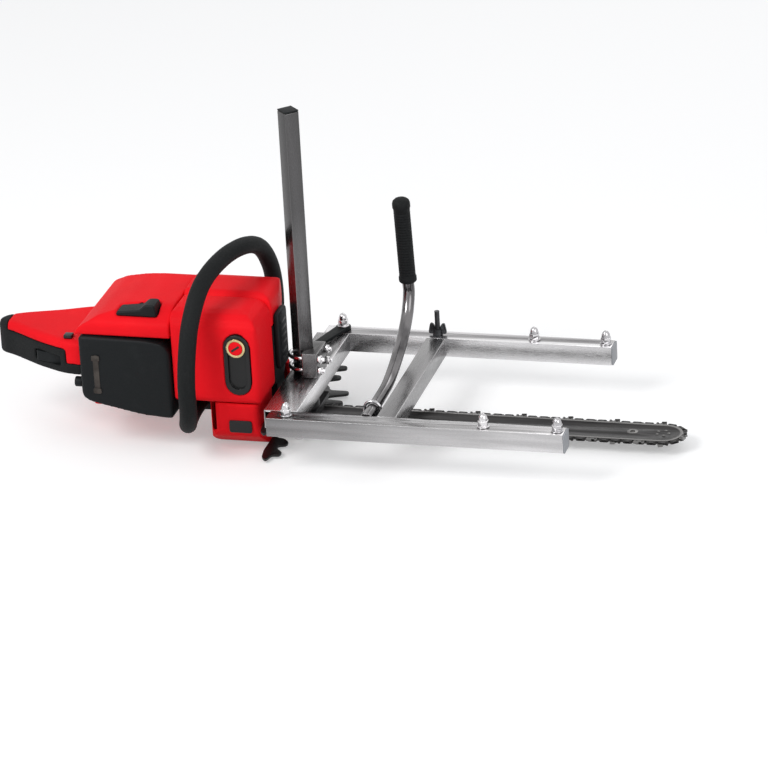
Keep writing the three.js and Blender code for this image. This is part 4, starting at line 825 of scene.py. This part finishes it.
# %% Cover screws
screw_profile = [(0.001, 0.7), (1.7, 0.7), (1.7, 1.9), (3.2, 1.9), (3.7, 1.4), (3.7, 0), (0.001, 0)]
pattern_screw = spun(screw_profile, 24)
screw_sunk = 0.5
base_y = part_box("rear_body")[1].y / MM - screw_sunk
screw_rows = {
    "tank_screws": ((-484, 96), (-358, 96), (-358, -46), (-458, -46)),
    "housing_screws": ((-334, 126), (-334, 34), (-246, 34)),
}


def screw(x, z):
    """A head on the base, facing away from the near side."""
    head = twin(pattern_screw)
    head.rotation_euler = (-math.pi / 2, 0, 0)
    head.location = (x * MM, base_y * MM, z * MM)
    return bake_place(head)


for name, places in screw_rows.items():
    hand_over(join([screw(x, z) for x, z in places]), name, "saw", screw_steel, (), 40)
bpy.data.objects.remove(pattern_screw)
print("screws:", {name: len(places) for name, places in screw_rows.items()})

# %% [markdown]
# ## The muffler's louvres
# The black plate at the saw's front is the exhaust shield. Pressed louvres let the heat out. Each is a short
# rounded rib, so a stamped plate with soft edges gives the form, and the row goes up the shield.

# %% Louvres
low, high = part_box("muffler")
louvre_count, louvre_low, louvre_step = 6, 60, 12
rib_length, rib_height, rib_corner = 26, 4.2, 2
louvres = []
for i in range(louvre_count):
    rib = round_edges(plate(strip_outline(rib_length, rib_height, rib_corner), -0.4, 0.9), 0.5 * MM, 2)
    rib.rotation_euler = (math.pi / 2, 0, math.pi / 2)
    rib.location = (high.x - 0.1 * MM, (low.y + high.y) / 2, (louvre_low + louvre_step * i) * MM)
    louvres.append(bake_place(rib))
hand_over(join(louvres), "muffler_louvres", "saw", black_paint, (), 40)
print("louvres:", len(louvres))

# %% [markdown]
# ## The guide bar
# The bar is a flat steel blade with a ground rail all round its edge and a duller face between. The copy of
# the solid gets its rail by an inset of the two faces, and the face between is sunk a little, so that the
# light shows where the paint starts. Small rivets hold the sprocket in the nose.

# %% Guide bar with its rails, face and rivets
bar_tip, bar_half, bar_z = 423, 31.0, -42.0
nose_x = bar_tip - bar_half
rail_width, step_width, face_depth = 4.2, 0.35, 0.3
bar = from_solid("guide_bar")
only(bar)
bpy.ops.object.mode_set(mode="EDIT")
bpy.ops.mesh.select_all(action="DESELECT")
shape = bmesh.from_edit_mesh(bar.data)
heights = [vertex.co.z for vertex in shape.verts]
bar_top, bar_bottom = max(heights), min(heights)
for face in shape.faces:
    level = face.calc_center_median().z
    if abs(face.normal.z) > 0.99 and (abs(level - bar_top) < 1e-5 or abs(level - bar_bottom) < 1e-5):
        face.select_set(True)
bmesh.update_edit_mesh(bar.data)
bpy.ops.mesh.inset(thickness=rail_width * MM, depth=0, use_boundary=True, use_even_offset=True)
bpy.ops.mesh.inset(thickness=step_width * MM, depth=-face_depth * MM, use_boundary=True, use_even_offset=True)
bpy.ops.object.mode_set(mode="OBJECT")
faces = [polygon for polygon in bar.data.polygons if polygon.select]
print("sunk faces:", len(faces), "area cm2:", round(sum(face.area for face in faces) * 1e4, 1))
sunk = {polygon.index for polygon in faces}
hand_over(bar, "guide_bar_blade", "saw", bar_edge_steel, ("guide_bar",), 30)
bar.data.materials.append(bar_steel)
for polygon in bar.data.polygons:
    polygon.material_index = 1 if polygon.index in sunk else 0

rivet_radius, rivet_depth, rivet_ring, nose_rivet_count = 2.4, 0.5, 9.5, 5
rivet_levels = (-39.8, -44.7)
rivet = round_edges(add_round(rivet_radius * MM, rivet_depth * MM, (0, 0, 0), 20), 0.2 * MM, 2)
nose_rivets = []
for i in range(nose_rivet_count):
    angle = math.radians(-144 + 72 * i)
    spot = ((nose_x + rivet_ring * math.cos(angle)) * MM, rivet_ring * math.sin(angle) * MM)
    for level in rivet_levels:
        copy = twin(rivet)
        copy.location = (*spot, level * MM)
        bake_place(copy)
        nose_rivets.append(copy)
bpy.data.objects.remove(rivet)
hand_over(join(nose_rivets), "nose_rivets", "saw", bar_edge_steel)
print("nose rivets:", len(rivet_levels) * nose_rivet_count)

# %% [markdown]
# ## The saw chain
# A chain repeats the same four links: a cutter, the strap opposite it, and drive links between them, all
# held by rivets. Each is modelled once. The loop is walked along the bar's edge and round the sprocket,
# and a copy of each link is laid between two rivets, turned along the way.

# %% The way of the chain
tail_half, tail_x, taper_x, crank_x = 24.0, -237.0, -184.0, -257.0
tail_slope, taper_slope = -0.132, -0.066
sprocket_radius, rivet_lift, rivet_pitch = 15, 3.3, 9.3
cutter_every = 8


def arc(middle_x, radius, first, last, steps):
    """Points and outward directions round a middle on the bar's line, between two angles."""
    angles = [first + (last - first) * i / steps for i in range(steps + 1)]
    return [(middle_x + radius * math.cos(angle), radius * math.sin(angle), math.cos(angle), math.sin(angle))
            for angle in angles]


def chain_way(lift):
    """The loop at a height above the bar's edge: over the nose, back, and round the drive sprocket."""
    places = [(tail_x, -tail_half, tail_slope, -1), (taper_x, -bar_half, taper_slope, -1)]
    places += arc(nose_x, bar_half, -math.pi / 2, math.pi / 2, 24)
    places += [(taper_x, bar_half, taper_slope, 1), (tail_x, tail_half, tail_slope, 1)]
    places += arc(crank_x, sprocket_radius, math.pi * 0.62, math.pi * 1.38, 12)
    return [Vector((x + lift * out_x, y + lift * out_y)) for x, y, out_x, out_y in places]


rivet_way = chain_way(rivet_lift)
spans = [(b - a).length for a, b in zip(rivet_way, rivet_way[1:] + rivet_way[:1])]
chain_length = sum(spans)
rivet_count = round(chain_length / rivet_pitch / cutter_every) * cutter_every
print("chain length", round(chain_length, 1), "mm, rivets", rivet_count)


def rivet_place(index):
    distance = (index % rivet_count) / rivet_count * chain_length
    for i, span in enumerate(spans):
        if distance <= span:
            start, end = rivet_way[i], rivet_way[(i + 1) % len(rivet_way)]
            return start.lerp(end, distance / span)
        distance -= span
    return rivet_way[0]


# %% The links, modelled once
drive_outline = [(-6.6, -2), (-3, -2.9), (3, -2.9), (6.6, -2), (7, 0), (5.6, 2.2), (2.2, 1.4), (-2.2, 1.4),
                 (-5.6, 2.2), (-7, 0)]
drive_half, strap_inner, strap_outer, cutter_outer = 0.75, 0.95, 2.15, 2.2
strap_length, strap_width = 14.6, 5.6
link_rivet_radius, link_rivet_half = 1.6, 2.6
drive_link = plate(drive_outline, -drive_half, drive_half)
strap_high = plate(oval(strap_length, strap_width), strap_inner, strap_outer)
strap_low = plate(oval(strap_length, strap_width), -strap_outer, -strap_inner)
link_rivet = add_round(link_rivet_radius * MM, 2 * link_rivet_half * MM, (0, 0, -link_rivet_half * MM), 8)


def cutter(side):
    """The side plate with its depth gauge, and the top plate that bends over the middle."""
    outline = [(-7.6, -2.6), (7, -2.6), (7.6, 0), (7.4, 5.0), (4.4, 4.8), (3.4, 1.6), (0.6, 1.6),
               (-0.6, 4.2), (-8.4, 5.2), (-8.8, 0)]
    low, high = sorted((side * strap_inner, side * cutter_outer))
    side_plate = plate(outline, low, high)
    reach = sorted((side * 3.7, side * -0.4))
    top = plate([(-8.4, 4.2), (-0.8, 3.3), (-0.6, 4.4), (-8.4, 5.5)], *reach)
    return join([side_plate, top])


cutter_high, cutter_low = cutter(1), cutter(-1)
print("links modelled")


# %% The loop
def laid(pattern, start, end):
    """A copy of a link, laid between two rivets with its height away from the bar."""
    along = (end - start).normalized()
    copy = twin(pattern)
    turn = Matrix((
        (along.x, along.y, 0, (start.x + end.x) / 2 * MM),
        (along.y, -along.x, 0, (start.y + end.y) / 2 * MM),
        (0, 0, 1, bar_z * MM),
        (0, 0, 0, 1),
    ))
    copy.matrix_world = turn
    return copy


links, cutters = [], []
for i in range(rivet_count):
    start, end = rivet_place(i), rivet_place(i + 1)
    links.append(laid(link_rivet, start - (end - start) / 2, start + (end - start) / 2))
    turn_in_row = i % cutter_every
    if i % 2 == 0:
        links.append(laid(drive_link, start, end))
    elif turn_in_row == 1:
        cutters.append(laid(cutter_high, start, end))
        links.append(laid(strap_low, start, end))
    elif turn_in_row == 5:
        cutters.append(laid(cutter_low, start, end))
        links.append(laid(strap_high, start, end))
    else:
        links.append(laid(strap_high, start, end))
        links.append(laid(strap_low, start, end))
for pattern in (drive_link, strap_high, strap_low, link_rivet, cutter_high, cutter_low):
    bpy.data.objects.remove(pattern)


def outward_mesh(obj):
    bake_place(obj)
    bpy.ops.object.mode_set(mode="EDIT")
    bpy.ops.mesh.select_all(action="SELECT")
    bpy.ops.mesh.normals_make_consistent(inside=False)
    bpy.ops.object.mode_set(mode="OBJECT")
    return obj


hand_over(outward_mesh(join(links)), "chain_links", "saw", chain_steel, ("saw_chain",), 30)
hand_over(outward_mesh(join(cutters)), "chain_cutters", "saw", cutter_steel, (), 30)
print("chain laid")

# %% [markdown]
# ## The floor and the light
# The floor lies under the saw's lowest flat. It is pale, and Light Path lifts it to white for the camera and
# for mirrored rays, so that only the shadow shows. The world is dimmer for the light that it gives than for
# the eye, because a white world would wash out the metal.

# %% Floor and world
floor_z = min(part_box(name)[0].z for name in nodes)
floor_size, floor_grey, floor_lift = 40, 0.74, 0.34
world_light, world_shown = 0.62, 1.0
bpy.ops.object.select_all(action="DESELECT")
bpy.ops.mesh.primitive_plane_add(size=floor_size, location=(0, 0, floor_z))
floor = bpy.context.object
floor.name = "floor"


def shown_to_eye(tree):
    """1 for a ray from the camera, a mirror or glass, and 0 for a ray that lights something."""
    light_path = tree.nodes.new("ShaderNodeLightPath")
    total = light_path.outputs["Is Camera Ray"]
    for name in ("Is Glossy Ray", "Is Transmission Ray"):
        larger = tree.nodes.new("ShaderNodeMath")
        larger.operation = "MAXIMUM"
        tree.links.new(total, larger.inputs[0])
        tree.links.new(light_path.outputs[name], larger.inputs[1])
        total = larger.outputs[0]
    return total


floor_material, floor_tree, floor_shader, _ = finish_nodes("pale_floor", 0.0)
floor_shader.inputs["Base Color"].default_value = grey(floor_grey)
floor_shader.inputs["Roughness"].default_value = 0.95
floor_shader.inputs["Specular IOR Level"].default_value = 0.0
floor_shader.inputs["Emission Color"].default_value = (1, 1, 1, 1)
lift = floor_tree.nodes.new("ShaderNodeMath")
lift.operation = "MULTIPLY"
lift.inputs[1].default_value = floor_lift
floor_tree.links.new(shown_to_eye(floor_tree), lift.inputs[0])
floor_tree.links.new(lift.outputs[0], floor_shader.inputs["Emission Strength"])
floor.data.materials.append(floor_material)

world = bpy.data.worlds.new("studio")
scene.world = world
world.use_nodes = True
world_tree = world.node_tree
background = world_tree.nodes["Background"]
background.inputs["Color"].default_value = (0.93, 0.94, 0.96, 1)
background.inputs["Strength"].default_value = world_light
shown = world_tree.nodes.new("ShaderNodeBackground")
shown.inputs["Color"].default_value = (1, 1, 1, 1)
shown.inputs["Strength"].default_value = world_shown
blend_world = world_tree.nodes.new("ShaderNodeMixShader")
world_tree.links.new(shown_to_eye(world_tree), blend_world.inputs["Fac"])
world_tree.links.new(background.outputs["Background"], blend_world.inputs[1])
world_tree.links.new(shown.outputs["Background"], blend_world.inputs[2])
world_tree.links.new(blend_world.outputs["Shader"], world_tree.nodes["World Output"].inputs["Surface"])
print("floor and world set")

# %% [markdown]
# ## Lamps
# A studio lights such a picture with large soft boxes. The key stands to the left in front, the fill to the
# right, and a weak rim lamp behind keeps the far side from going dark. All three are discs turned to the saw.

# %% Lamps
def soft_lamp(name, place, size, power):
    data = bpy.data.lights.new(name, "AREA")
    data.shape = "DISK"
    data.size = size
    data.energy = power
    lamp = bpy.data.objects.new(name, data)
    scene.collection.objects.link(lamp)
    lamp.location = place
    lamp.rotation_mode = "QUATERNION"
    lamp.rotation_quaternion = (Vector((0, 0, 0.1)) - Vector(place)).to_track_quat("-Z", "Y")
    return lamp


soft_lamp("key", (-1.6, -2.2, 2.6), 1.6, 62)
soft_lamp("fill", (2.4, -1.8, 1.5), 2.2, 26)
soft_lamp("rim", (0.6, 2.6, 2.2), 1.4, 8)
scene.view_settings.view_transform = "Standard"
print("stage set, floor at", round(floor_z, 4))
